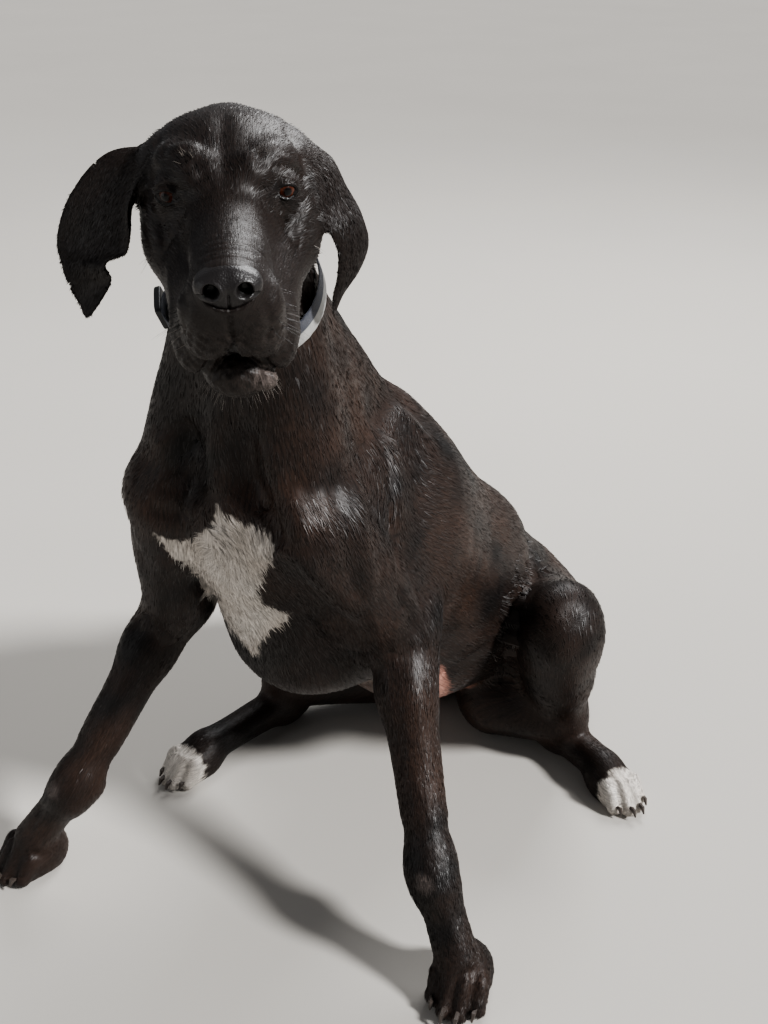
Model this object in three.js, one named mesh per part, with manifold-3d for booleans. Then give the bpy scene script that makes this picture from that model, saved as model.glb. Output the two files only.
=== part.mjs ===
// A seated adult Great Dane at life size, in millimetres, +Z up.
// The dog faces -Y and its left side is +X. The floor is z = 0.
// Every part of the body is a closed surface around a path, where each point lies
// on the smooth union of the muscles and bones that the part is made of.
import * as THREE from 'three';
import { mergeVertices } from 'three/addons/utils/BufferGeometryUtils.js';
import { ParametricGeometry } from 'three/addons/geometries/ParametricGeometry.js';
import Module from 'manifold-3d';

const wasm = await Module();
wasm.setup();

// Driving dimensions
const gap = 0.35;              // clearance between neighbouring solids
const floorMiddle = [1.5, -246.17];    // middle of the plan outline, before it is moved to the origin

// Joints of the skeleton, left side then right side
const at = (x, y, z) => new THREE.Vector3(x, y, z);
const spine = {
  withers: at(-6, -300, 590),
  chestTop: at(0, -215, 505),
  loin: at(18, -70, 350),
  croup: at(24, 60, 215),
  manubrium: at(0, -540, 535),
};
const left = {
  shoulder: at(96, -512, 534),
  bladeTop: at(46, -318, 556),
  elbow: at(122, -404, 362),
  carpus: at(242, -506, 140),
  paw: at(300, -528, 36),
  pawAim: at(0.28, -0.96, 0),
  hip: at(62, 26, 132),
  knee: at(195, -143, 265),
  hock: at(168, -72, 31),
  foot: at(292, -124, 28),
  footAim: at(0.9, -0.42, 0),
};
const right = {
  shoulder: at(-107, -532, 524),
  bladeTop: at(-52, -318, 552),
  elbow: at(-152, -486, 345),
  carpus: at(-192, -646, 138),
  paw: at(-254, -690, 36),
  pawAim: at(-0.2, -0.98, 0),
  hip: at(-52, 34, 132),
  knee: at(-168, -168, 280),
  hock: at(-196, -262, 33),
  foot: at(-218, -440, 28),
  footAim: at(-0.1, -0.99, 0),
};

// Head: place of the point midway between the eyes, and its turn, nod and tilt in degrees
const headPlace = at(85, -606, 890);
const headTurn = 42.5;
const headNod = 12;
const headTilt = -1.5;

// Sizes of the head in its own axes: x to its left, y forward, z up
const eyeSpacing = 93;
const eyeRadius = 12.5;
const skullWidth = 156;
const muzzleWidth = 98;

// A muscle is a rounded bar from one point to another, with a radius at each end.
// It may be flattened along one direction, to the stated fraction of its radius.
const sideways = at(1, 0, 0);
function muscle(from, to, fromRadius, toRadius, flatness = 1, flatAlong = sideways, blend = 30) {
  const axis = to.clone().sub(from);
  const lengthSq = Math.max(axis.lengthSq(), 1e-9);
  return { from, axis, lengthSq, fromRadius, toRadius, flatness, flatAlong, blend };
}
function lump(centre, radius, flatness = 1, flatAlong = sideways, blend = 25) {
  return muscle(centre, centre.clone().add(at(0, 0, 0.01)), radius, radius, flatness, flatAlong, blend);
}
function between(a, b, t) {
  return a.clone().lerp(b, t);
}
function offset(p, x, y, z) {
  return p.clone().add(at(x, y, z));
}

// Distance of a point from one muscle, negative inside
const toPoint = new THREE.Vector3();
function muscleDistance(m, p) {
  toPoint.subVectors(p, m.from);
  const t = THREE.MathUtils.clamp(toPoint.dot(m.axis) / m.lengthSq, 0, 1);
  toPoint.addScaledVector(m.axis, -t);
  const across = toPoint.dot(m.flatAlong);
  const along = Math.sqrt(Math.max(toPoint.lengthSq() - across * across, 0));
  return Math.hypot(along, across / m.flatness) - THREE.MathUtils.lerp(m.fromRadius, m.toRadius, t);
}

// Smooth union of a group of muscles
function bodyDistance(muscles, p) {
  let d = 1e6;
  for (const m of muscles) {
    const e = muscleDistance(m, p);
    const mix = Math.max(m.blend - Math.abs(d - e), 0) / m.blend;
    d = Math.min(d, e) - mix * mix * m.blend / 4;
  }
  return d;
}

// Muscles of the trunk, from the breastbone to the rump
const trunkMuscles = [
  muscle(at(0, -455, 500), at(0, -330, 405), 118, 168, 0.78, sideways, 40),
  muscle(at(0, -330, 405), at(6, -180, 275), 168, 146, 0.80, sideways, 40),
  muscle(at(6, -188, 258), at(16, -44, 160), 146, 104, 0.84, sideways, 50),
  muscle(at(16, -40, 170), at(22, 62, 118), 104, 92, 1, sideways, 50),
  muscle(offset(spine.withers, 0, 14, -62), offset(spine.chestTop, 0, -36, -44), 62, 60, 0.7, sideways, 50),
  muscle(offset(spine.chestTop, 0, -30, -50), offset(spine.loin, 0, -36, -40), 66, 66, 1, sideways, 40),
  muscle(offset(spine.loin, 0, -36, -40), offset(spine.croup, 0, -22, -40), 70, 62, 1, sideways, 40),
  muscle(offset(spine.manubrium, 0, 40, -12), at(-12, -430, 324), 46, 72, 1.15, sideways, 60),
  muscle(at(54, 40, 105), at(60, 74, 46), 66, 54, 1, sideways, 40),
  muscle(at(-30, 50, 105), at(-32, 82, 46), 66, 54, 1, sideways, 40),
];
// Muscles of the neck: crest, side cords, windpipe and the two breast cords
const nape = inHead(0, -104, -24);
const throat = inHead(0, -62, -76);
const neckTop = between(nape, throat, 0.5);
const neckRoot = at(0, -410, 530);
const neckMuscles = [
  muscle(offset(nape, -10, -12, -14), offset(spine.withers, 0, 2, -68), 24, 67, 0.8, sideways, 40),
  muscle(throat, at(0, -470, 510), 38, 84, 1, sideways, 50),
  muscle(neckTop, neckRoot, 44, 92, 0.95, sideways, 50),
  muscle(offset(neckTop, 26, 10, -20), offset(left.shoulder, -14, 14, 6), 26, 46, 1, sideways, 40),
  muscle(offset(neckTop, -16, -6, -20), offset(right.shoulder, 6, 12, 14), 18, 50, 1, sideways, 40),
];

// Muscles of a foreleg: blade, upper arm, then forearm, wrist and pastern
function bladeMuscles(leg, side) {
  const outward = at(side * 0.94, -0.25, 0.22).normalize();
  return [
    muscle(leg.bladeTop, leg.shoulder, 30, 48, 0.72, outward, 40),
    muscle(
      offset(leg.bladeTop, side * 14, 10, -40),
      offset(leg.shoulder, side * 6, 30, -34),
      34, 40, 0.7, outward, 40,
    ),
  ];
}
function armMuscles(leg, side) {
  const outward = at(side * 0.94, -0.25, 0.22).normalize();
  const point = offset(leg.elbow, 0, 30, 16);
  return [
    muscle(leg.shoulder, leg.elbow, 50, 40, 0.9, outward, 40),
    muscle(between(leg.bladeTop, leg.shoulder, 0.5), point, 54, 26, 0.62, outward, 50),
    muscle(
      offset(leg.shoulder, -side * 30, 2, -10),
      offset(leg.elbow, -side * 22, -26, 10),
      46, 32, 0.9, outward, 50,
    ),
  ];
}
function forelegMuscles(leg) {
  const down = leg.carpus.clone().sub(leg.elbow).normalize();
  const point = offset(leg.elbow, 0, 34, 18);
  const front = at(leg.pawAim.x, leg.pawAim.y, 0);
  const belly = between(leg.elbow, leg.carpus, 0.22).addScaledVector(front, 12);
  const fetlock = between(leg.carpus, leg.paw, 0.8);
  return [
    muscle(leg.elbow, leg.carpus, 31, 24, 1, sideways, 25),
    muscle(leg.elbow, belly, 31, 23, 1, sideways, 30),
    muscle(belly, between(leg.elbow, leg.carpus, 0.75), 25, 16, 1, sideways, 25),
    muscle(point, between(leg.elbow, leg.carpus, 0.3), 24, 22, 1, sideways, 30),
    muscle(
      leg.carpus.clone().addScaledVector(down, -16),
      leg.carpus.clone().addScaledVector(down, 16),
      26, 26, 1, sideways, 20,
    ),
    lump(leg.carpus.clone().addScaledVector(front, -22).add(at(0, 0, -12)), 15, 1, sideways, 16),
    muscle(leg.carpus, fetlock, 25, 25, 1, sideways, 20),
  ];
}

// Muscles of a hind leg: thigh, then shin with its calf and heel cord
function thighMuscles(leg, side) {
  const outward = at(side * 0.8, -0.5, 0.3).normalize();
  return [
    muscle(leg.hip, leg.knee, 88, 46, 0.72, outward, 40),
    muscle(
      offset(leg.hip, side * 10, 40, -71),
      between(leg.knee, leg.hock, 0.45),
      66, 48, 0.8, outward, 50,
    ),
    muscle(offset(leg.hip, 0, -50, 20), leg.knee, 56, 43, 0.9, outward, 40),
    muscle(
      offset(leg.hip, side * 10, -110, -68),
      between(leg.knee, leg.hock, 0.85),
      66, 44, 1, outward, 40,
    ),
    lump(leg.knee, 43, 0.95, outward, 30),
  ];
}
function shinMuscles(leg) {
  const heel = leg.hock.clone().addScaledVector(leg.footAim, -26).add(at(0, 0, 4));
  return [
    muscle(between(leg.knee, leg.hock, 0.05), leg.hock, 45, 27, 1, sideways, 30),
    muscle(between(leg.knee, leg.hock, 0.12), between(leg.knee, leg.hock, 0.5), 50, 36, 1, sideways, 40),
    muscle(between(leg.knee, heel, 0.45), heel, 30, 17, 1, sideways, 20),
  ];
}
function hindFootMuscles(leg) {
  const heel = leg.hock.clone().addScaledVector(leg.footAim, -24).add(at(0, 0, -8));
  const ball = leg.foot.clone().addScaledVector(leg.footAim, -44).add(at(0, 0, 4));
  return [
    muscle(heel, leg.hock, 25, 29, 1, sideways, 20),
    muscle(leg.hock, ball, 27, 25, 1, sideways, 20),
  ];
}

// A paw: broad pad with four arched toes, each knuckle raised above its tip
const toeCount = 4;
const toeSpread = 14;
const toeRadius = 14.5;
function toeLine(place, aim, index, size) {
  const across = at(-aim.y, aim.x, 0);
  const middle = (toeCount - 1) / 2;
  const step = index - middle;
  const inner = Math.abs(step) < 1;
  const reach = inner ? 34 : 20;
  const root = place.clone().addScaledVector(across, step * toeSpread * size * 0.8);
  root.addScaledVector(aim, -18 * size);
  const tip = place.clone().addScaledVector(across, step * toeSpread * size * 1.15);
  tip.addScaledVector(aim, reach * size);
  const knuckle = between(root, tip, 0.55);
  root.z = 32 * size;
  knuckle.z = 34 * size;
  tip.z = toeRadius * size - 1.5;
  return { root, knuckle, tip, aim };
}
function pawMuscles(place, aim, size) {
  const muscles = [
    muscle(
      place.clone().addScaledVector(aim, -28 * size).setZ(25 * size),
      place.clone().setZ(22 * size),
      25 * size,
      24 * size,
    ),
    muscle(
      place.clone().addScaledVector(aim, -16 * size).setZ(14),
      place.clone().addScaledVector(aim, 6).setZ(14),
      26 * size,
      26 * size,
    ),
  ];
  for (let i = 0; i < toeCount; i += 1) {
    const toe = toeLine(place, aim, i, size);
    muscles.push(muscle(toe.root, toe.knuckle, toeRadius * size, toeRadius * size * 0.96, 1, sideways, 5));
    muscles.push(muscle(
      toe.knuckle,
      toe.tip,
      toeRadius * size * 0.96, toeRadius * size * 0.86, 1, sideways, 6,
    ));
  }
  return muscles;
}

// Tail: from the croup down to the floor and round to the right
const tailPath = [
  at(20, 84, 104),
  at(8, 150, 46),
  at(-40, 208, 19),
  at(-130, 238, 14.5),
  at(-236, 216, 11),
  at(-330, 150, 6.5),
];
const tailRadius = [32, 25, 19, 15.5, 12, 7.5];
function tailMuscles() {
  const muscles = [];
  for (let i = 0; i + 1 < tailPath.length; i += 1) {
    muscles.push(muscle(tailPath[i], tailPath[i + 1], tailRadius[i], tailRadius[i + 1], 1, sideways, 8));
  }
  return muscles;
}

// Head: a point given as left, forward and up of the middle of the eyes
function inHead(x, forward, z) {
  const turn = new THREE.Euler(
    THREE.MathUtils.degToRad(headNod),
    THREE.MathUtils.degToRad(headTilt),
    THREE.MathUtils.degToRad(headTurn),
    'ZXY',
  );
  return at(x, -forward, z).applyEuler(turn).add(headPlace);
}
function headDirection(x, forward, z) {
  return inHead(x, forward, z).sub(headPlace).normalize();
}
function headMuscles() {
  const cheek = skullWidth / 2;
  const lip = muzzleWidth / 2;
  const flat = headDirection(1, 0, 0);
  const upright = headDirection(0, 0, 1);
  const muscles = [
    muscle(inHead(0, -104, -24), inHead(0, -44, -12), 50, 51, 1.24, flat, 30),
    muscle(inHead(0, -136, -4), inHead(0, -80, 6), 18, 28, 1.2, flat, 30),
    muscle(inHead(0, -44, 8), inHead(0, 2, 8), 30, 24, 1.5, flat, 26),
    muscle(inHead(0, -60, -34), inHead(0, -12, -38), 48, 42, 1.1, flat, 40),
    muscle(inHead(0, 10, -14), inHead(0, 140, -16), 26, 23, 1.15, flat, 26),
    muscle(inHead(0, 30, -50), inHead(0, 116, -54), 34, 34, 1.16, flat, 30),
  ];
  for (const side of [1, -1]) {
    muscles.push(muscle(
      inHead(side * (cheek - 19), -64, -8),
      inHead(side * (cheek - 26), -16, -22),
      19, 12, 1, flat, 26,
    ));
    muscles.push(muscle(
      inHead(side * (cheek - 31), -58, -44),
      inHead(side * (cheek - 34), -16, -58),
      32, 28, 1, flat, 30,
    ));
    muscles.push(muscle(
      inHead(side * (cheek - 34), -16, -58),
      inHead(side * (lip - 12), 44, -74),
      26, 18, 1, flat, 30,
    ));
    muscles.push(muscle(inHead(side * 46, -20, 19), inHead(side * 26, 8, 20), 13, 13, 1, flat, 18));
    muscles.push(lump(inHead(side * 33, -68, -5), 31, 1, flat, 26));
    muscles.push(muscle(
      inHead(side * (lip - 21), 34, -62),
      inHead(side * (lip - 20), 96, -80),
      18, 21, 1, flat, 25,
    ));
    muscles.push(muscle(
      inHead(side * (lip - 14), 62, -92),
      inHead(side * (lip - 18), 102, -97),
      17, 18, 1, flat, 20,
    ));
    muscles.push(muscle(inHead(side * 20, 126, -42), inHead(side * 19, 126, -66), 22, 19, 1, upright, 14));
  }
  return muscles;
}
function jawMuscles() {
  const flat = headDirection(1, 0, 0);
  return [
    muscle(inHead(0, -30, -78), inHead(0, 92, -116), 32, 22, 1.2, flat, 25),
    muscle(inHead(0, 84, -118), inHead(0, 110, -115), 22, 20, 1.35, flat, 20),
  ];
}
function noseMuscles() {
  const flat = headDirection(1, 0, 0);
  return [
    muscle(inHead(0, 140, -12), inHead(0, 152, -13), 15, 16, 1.65, flat, 10),
    muscle(inHead(0, 150, -16), inHead(0, 154, -34), 11, 7, 1.2, flat, 12),
  ];
}

// Ears: soft flaps given by stations from root to tip. Each station has the middle
// of the flap, half its width, the direction of its width and its cupping.
const earThickness = 7;
const earLeft = [
  { middle: [61, -58, 9], half: 22, front: [0.1, 0.97, 0.2], cup: 4 },
  { middle: [85, -56, -10], half: 32, front: [-0.17, 0.98, -0.13], cup: 10 },
  { middle: [95, -50, -36], half: 38, front: [-0.38, 0.91, 0.1], cup: 12 },
  { middle: [106, -46, -56], half: 36, front: [-0.38, 0.91, 0.18], cup: 10 },
  { middle: [112, -42, -80], half: 32, front: [-0.43, 0.86, 0.27], cup: 8 },
  { middle: [106, -36, -102], half: 26, front: [-0.39, 0.87, 0.3], cup: 6 },
  { middle: [94, -30, -122], half: 16, front: [-0.29, 0.9, 0.32], cup: 3 },
  { middle: [88, -26, -138], half: 8, front: [-0.2, 0.95, 0.2], cup: 0 },
];
const earRight = [
  { middle: [-60, -58, 6], half: 22, front: [-0.05, 0.97, 0.1], cup: 4 },
  { middle: [-90, -54, -13], half: 34, front: [0.3, 0.93, -0.23], cup: 12 },
  { middle: [-108, -46, -40], half: 44, front: [0.59, 0.8, -0.08], cup: 14 },
  { middle: [-121, -38, -67], half: 48, front: [0.68, 0.72, 0.16], cup: 12 },
  { middle: [-131, -34, -82], half: 31, front: [0.69, 0.65, 0.32], cup: 8 },
  { middle: [-128, -30, -101], half: 28, front: [0.71, 0.55, 0.44], cup: 6 },
  { middle: [-139, -26, -129], half: 8, front: [0.6, 0.75, 0.2], cup: 0 },
];

// A closed surface around a path: rays leave the path and stop where the union of
// the muscles ends, raised by grow. Both ends close in a round cap.
const rayStep = 4;
function radiusAlong(muscles, origin, direction, reach, grow) {
  const p = new THREE.Vector3();
  let near = 0;
  let far = rayStep;
  p.copy(origin).addScaledVector(direction, far);
  while (far < reach && bodyDistance(muscles, p) < grow) {
    near = far;
    far += rayStep;
    p.copy(origin).addScaledVector(direction, far);
  }
  for (let i = 0; i < 12; i += 1) {
    const middle = (near + far) / 2;
    p.copy(origin).addScaledVector(direction, middle);
    if (bodyDistance(muscles, p) < grow) {
      near = middle;
    } else {
      far = middle;
    }
  }
  return Math.max(near, 0.5);
}
function flesh(muscles, path, options) {
  const { sides = 16, rings = 10, caps = 3, reach = 400, up = at(0, 0, 1) } = options;
  const curve = new THREE.CatmullRomCurve3(path, false, 'centripetal');
  const stacks = rings + 2 * caps;
  return (grow) => {
    const ray = new THREE.Vector3();
    const surface = (u, v, target) => {
      const row = Math.round(v * stacks);
      const t = THREE.MathUtils.clamp((row - caps) / rings, 0, 1);
      const origin = curve.getPointAt(t);
      const tangent = curve.getTangentAt(t);
      const bend = row < caps ? row / caps - 1 : Math.max(row - caps - rings, 0) / caps;
      const tilt = bend * Math.PI / 2;
      const aside = Math.abs(bend) === 1 ? 0 : Math.cos(tilt);
      const right = new THREE.Vector3().crossVectors(tangent, up).normalize();
      const top = new THREE.Vector3().crossVectors(right, tangent);
      const angle = (u % 1) * Math.PI * 2;
      ray.copy(right).multiplyScalar(Math.cos(angle) * aside);
      ray.addScaledVector(top, Math.sin(angle) * aside);
      ray.addScaledVector(tangent, Math.sin(tilt));
      const radius = radiusAlong(muscles, origin, ray, reach, grow);
      target.copy(origin).addScaledVector(ray, radius);
    };
    return solidFrom(new ParametricGeometry(surface, sides, stacks));
  };
}

// Closed solid from a geometry: shared vertices merged, empty triangles dropped, faces outward
function solidFrom(geometry) {
  const plain = geometry.clone();
  plain.deleteAttribute('normal');
  plain.deleteAttribute('uv');
  const merged = mergeVertices(plain, 1e-3);
  const corners = merged.index.array;
  const kept = [];
  for (let i = 0; i < corners.length; i += 3) {
    const [a, b, c] = [corners[i], corners[i + 1], corners[i + 2]];
    if (a !== b && b !== c && c !== a) {
      kept.push(a, b, c);
    }
  }
  const build = (order) => new wasm.Manifold(new wasm.Mesh({
    numProp: 3,
    vertProperties: new Float32Array(merged.attributes.position.array),
    triVerts: new Uint32Array(order),
  }));
  const solid = build(kept);
  if (solid.volume() > 0) {
    return solid;
  }
  const flipped = [];
  for (let i = 0; i < kept.length; i += 3) {
    flipped.push(kept[i], kept[i + 2], kept[i + 1]);
  }
  return build(flipped);
}
function largest(solid) {
  const pieces = solid.decompose();
  pieces.sort((a, b) => b.volume() - a.volume());
  return pieces[0];
}

// A thin slab through a point, used to part one long solid into two
function slab(point, direction, thickness = gap, width = 700) {
  const geometry = new THREE.BoxGeometry(width, width, thickness);
  const turn = new THREE.Quaternion().setFromUnitVectors(at(0, 0, 1), direction.clone().normalize());
  geometry.applyQuaternion(turn);
  geometry.translate(point.x, point.y, point.z);
  return solidFrom(geometry);
}
function halfSpace(point, direction) {
  const depth = 1600;
  const away = direction.clone().normalize();
  return slab(point.clone().addScaledVector(away, depth / 2 + gap / 2), away, depth, 2400);
}

// Ear flap: a lens-shaped section carried from root to tip
function earFlap(stations) {
  const place = (list) => new THREE.CatmullRomCurve3(list, false, 'centripetal');
  const middle = place(stations.map((s) => inHead(...s.middle)));
  const front = place(stations.map((s) => headDirection(...s.front).multiplyScalar(100)));
  const size = place(stations.map((s) => at(s.half, s.cup, 0)));
  const stacks = 10;
  const sides = 12;
  return (grow) => {
    const surface = (u, v, target) => {
      const t = v;
      const centre = middle.getPoint(t);
      const wide = front.getPoint(t).normalize();
      const down = middle.getTangent(t);
      const out = new THREE.Vector3().crossVectors(wide, down).normalize();
      const s = size.getPoint(t);
      const ends = Math.sqrt(Math.max(1 - (2 * v - 1) ** 8, 0));
      const angle = (u % 1) * Math.PI * 2;
      const across = Math.cos(angle);
      const thick = Math.sin(angle) * (earThickness / 2 + grow) * ends;
      target.copy(centre);
      target.addScaledVector(wide, across * (s.x + grow) * ends);
      target.addScaledVector(out, thick + s.y * (0.4 - across * across));
    };
    return solidFrom(new ParametricGeometry(surface, sides, stacks));
  };
}

// Claw: a short cone that leaves the toe tip, bends down and ends just above the floor
const clawLength = 14;
const clawRadius = 4.2;
function claw(toe, size) {
  const start = toe.tip.clone().addScaledVector(toe.aim, 4 * size).add(at(0, 0, 6));
  const turn = offset(start.clone().addScaledVector(toe.aim, clawLength * 0.6 * size), 0, 0, 0.5);
  const end = offset(start.clone().addScaledVector(toe.aim, clawLength * size), 0, 0, -9 * size);
  end.z = Math.max(end.z, 3.2);
  const parts = [
    muscle(start, turn, clawRadius * size, clawRadius * 0.8 * size, 1, sideways, 2),
    muscle(turn, end, clawRadius * 0.8 * size, 1.2, 1, sideways, 2),
  ];
  return flesh(parts, [start, turn, end], { sides: 5, rings: 2, caps: 1, reach: 12 });
}

// Collar: a flat band that follows the neck behind the jaw
const collarWidth = 25;
const collarThickness = 3;
const collarSlack = 2.5;
const collarLean = -10;
const collarMiddle = between(neckTop, neckRoot, 0.26);
const collarSide = new THREE.Vector3().crossVectors(neckTop.clone().sub(neckRoot), at(0, 0, 1)).normalize();
const collarAxis = neckTop.clone().sub(neckRoot).normalize()
  .applyAxisAngle(collarSide, THREE.MathUtils.degToRad(collarLean));
function band(centre, axis, width, inner, outer) {
  const right = new THREE.Vector3().crossVectors(axis, at(0, 0, 1)).normalize();
  const top = new THREE.Vector3().crossVectors(right, axis);
  const around = 24;
  const section = [[inner, -0.5], [outer, -0.5], [outer, 0.5], [inner, 0.5]];
  return (grow) => {
    const surface = (u, v, target) => {
      const [level, side] = section[Math.round(v * 4) % 4];
      const angle = (u % 1) * Math.PI * 2;
      const ray = right.clone().multiplyScalar(Math.cos(angle)).addScaledVector(top, Math.sin(angle));
      const radius = radiusAlong(neckMuscles, centre, ray, 200, 0);
      const thick = level + (level > inner ? grow : -grow);
      target.copy(centre).addScaledVector(ray, radius + thick);
      target.addScaledVector(axis, side * (width + 2 * grow));
    };
    return solidFrom(new ParametricGeometry(surface, around, 4));
  };
}

// Materials by substance
const coatMaterial = () => new THREE.MeshStandardMaterial({ color: 0x1c1715, roughness: 0.5 });
const leatherMaterial = () => new THREE.MeshStandardMaterial({ color: 0x0c0b0b, roughness: 0.3 });
const eyeMaterial = () => new THREE.MeshStandardMaterial({ color: 0x4a2412, roughness: 0.08 });
const clawMaterial = () => new THREE.MeshStandardMaterial({ color: 0x2a2522, roughness: 0.45 });
const webbingMaterial = () => new THREE.MeshStandardMaterial({ color: 0xc9cbcc, roughness: 0.8 });
const metalMaterial = () =>
  new THREE.MeshStandardMaterial({ color: 0xb9bbbd, roughness: 0.3, metalness: 1 });

// Parts in order: each one gives way to the parts before it
const parts = [];
function part(name, material, shape, cuts = []) {
  parts.push({ name, material, shape, cuts });
}

for (const [side, label] of [[1, 'left'], [-1, 'right']]) {
  const centre = inHead(side * eyeSpacing / 2, 2, 0);
  const ball = (grow) => {
    const geometry = new THREE.SphereGeometry(eyeRadius + grow, 12, 6);
    geometry.translate(centre.x, centre.y, centre.z);
    return solidFrom(geometry);
  };
  part(`eye_${label}`, eyeMaterial, ball);
}
part('nose', leatherMaterial, flesh(
  noseMuscles(),
  [inHead(0, 138, -14), inHead(0, 152, -16)],
  { sides: 14, rings: 3, caps: 2, reach: 50 },
));
const hindPawSize = 0.88;
const feet = [
  ['front_left', left.paw, left.pawAim, 1],
  ['front_right', right.paw, right.pawAim, 1],
  ['hind_left', left.foot, left.footAim, hindPawSize],
  ['hind_right', right.foot, right.footAim, hindPawSize],
];
part('head', coatMaterial, flesh(
  headMuscles(),
  [inHead(0, -108, -14), inHead(0, -50, -20), inHead(0, 20, -34), inHead(0, 118, -38)],
  { sides: 20, rings: 12, caps: 3, up: headDirection(0, 0, 1) },
));
part('lower_jaw', coatMaterial, flesh(
  jawMuscles(),
  [inHead(0, -24, -76), inHead(0, 108, -112)],
  { sides: 12, rings: 6, caps: 3, up: headDirection(0, 0, 1) },
));
part('ear_left', coatMaterial, earFlap(earLeft));
part('ear_right', coatMaterial, earFlap(earRight));
const trunkPath = [at(0, -470, 500), at(0, -330, 405), at(6, -180, 285), at(16, -40, 180), at(22, 52, 112)];
const trunk = flesh(trunkMuscles, trunkPath, { sides: 18, rings: 12, caps: 2 });
const trunkAxis = trunkPath[4].clone().sub(trunkPath[0]).normalize();
part('chest', coatMaterial, trunk, [[at(0, -300, 395), trunkAxis, -1]]);
part('abdomen', coatMaterial, trunk, [[at(0, -300, 395), trunkAxis, 1], [at(12, -60, 215), trunkAxis, -1]]);
part('rump', coatMaterial, trunk, [[at(12, -60, 215), trunkAxis, 1]]);
part('neck', coatMaterial, flesh(
  neckMuscles,
  [inHead(0, -96, -28), between(nape, at(0, -400, 560), 0.5), at(0, -420, 560)],
  { sides: 14, rings: 6, caps: 2, up: at(0, -1, 0.4) },
));
for (const [side, label, leg] of [[1, 'left', left], [-1, 'right', right]]) {
  part(`upper_arm_${label}`, coatMaterial, flesh(
    armMuscles(leg, side),
    [between(leg.shoulder, leg.elbow, 0.1), leg.elbow],
    { sides: 10, rings: 4, caps: 3, up: at(side, 0, 0) },
  ));
  part(`shoulder_${label}`, coatMaterial, flesh(
    bladeMuscles(leg, side),
    [leg.bladeTop, leg.shoulder],
    { sides: 10, rings: 5, caps: 2, up: at(side, 0, 0) },
  ));
  const down = leg.carpus.clone().sub(leg.elbow).normalize();
  const pawAim = leg.pawAim.clone().normalize();
  const foreleg = flesh(
    [...forelegMuscles(leg), ...pawMuscles(leg.paw, pawAim, 1)],
    [leg.elbow, leg.carpus, leg.paw.clone().addScaledVector(pawAim, -30), leg.paw.clone().setZ(24)],
    { sides: 12, rings: 10, caps: 3, up: pawAim.clone().negate() },
  );
  const wrist = leg.carpus.clone().addScaledVector(down, 6);
  part(`forearm_${label}`, coatMaterial, foreleg, [[wrist, down, -1]]);
  part(`front_paw_${label}`, coatMaterial, foreleg, [[wrist, down, 1]]);
  part(`thigh_${label}`, coatMaterial, flesh(
    thighMuscles(leg, side),
    [leg.hip, leg.knee],
    { sides: 12, rings: 4, caps: 3, up: at(side, 0, 0) },
  ));
  part(`shin_${label}`, coatMaterial, flesh(
    shinMuscles(leg),
    [between(leg.knee, leg.hock, 0.05), leg.hock],
    { sides: 10, rings: 5, caps: 2, up: at(0, 1, 0) },
  ));
  const footAim = leg.footAim.clone().normalize();
  part(`hind_foot_${label}`, coatMaterial, flesh(
    [...hindFootMuscles(leg), ...pawMuscles(leg.foot, footAim, hindPawSize)],
    [leg.hock, leg.foot.clone().addScaledVector(footAim, -30), leg.foot.clone().setZ(22)],
    { sides: 10, rings: 8, caps: 3 },
  ));
}
for (const [label, place, aim, size] of feet) {
  for (let i = 0; i < toeCount; i += 1) {
    const toe = toeLine(place, aim.clone().normalize(), i, size);
    part(`claw_${label}_${i + 1}`, clawMaterial, claw(toe, size));
  }
}
const tail = flesh(tailMuscles(), tailPath, { sides: 8, rings: 14, caps: 2 });
part('tail_base', coatMaterial, tail, [[tailPath[3], tailPath[3].clone().sub(tailPath[2]), -1]]);
part('tail_tip', coatMaterial, tail, [[tailPath[3], tailPath[3].clone().sub(tailPath[2]), 1]]);
part('collar_strap', webbingMaterial, band(
  collarMiddle,
  collarAxis,
  collarWidth,
  collarSlack,
  collarSlack + collarThickness,
));

// A frame on the outer face of the collar, at an angle around it
function onCollar(degrees, lift) {
  const across = new THREE.Vector3().crossVectors(collarAxis, at(0, 0, 1)).normalize();
  const top = new THREE.Vector3().crossVectors(across, collarAxis);
  const angle = THREE.MathUtils.degToRad(degrees);
  const out = across.clone().multiplyScalar(Math.cos(angle)).addScaledVector(top, Math.sin(angle));
  const radius = radiusAlong(neckMuscles, collarMiddle, out, 200, 0);
  const place = collarMiddle.clone().addScaledVector(out, radius + collarSlack + collarThickness + lift);
  const along = new THREE.Vector3().crossVectors(collarAxis, out);
  return new THREE.Matrix4().makeBasis(along, collarAxis, out).setPosition(place);
}
const buckleLength = 38;
const buckleWidth = 29;
const buckleHeight = 9;
part('collar_buckle', webbingMaterial, (grow) => {
  const geometry = new THREE.BoxGeometry(buckleLength + grow, buckleWidth + grow, buckleHeight + grow);
  return solidFrom(geometry.applyMatrix4(onCollar(330, buckleHeight / 2 - 2)));
});
const ringRadius = 13;
const ringWire = 1.9;
part('collar_ring', metalMaterial, (grow) => {
  const geometry = new THREE.TorusGeometry(ringRadius, ringWire + grow, 6, 16);
  geometry.rotateX(Math.PI / 2);
  return solidFrom(geometry.applyMatrix4(onCollar(90, ringRadius - 5)));
});

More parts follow.
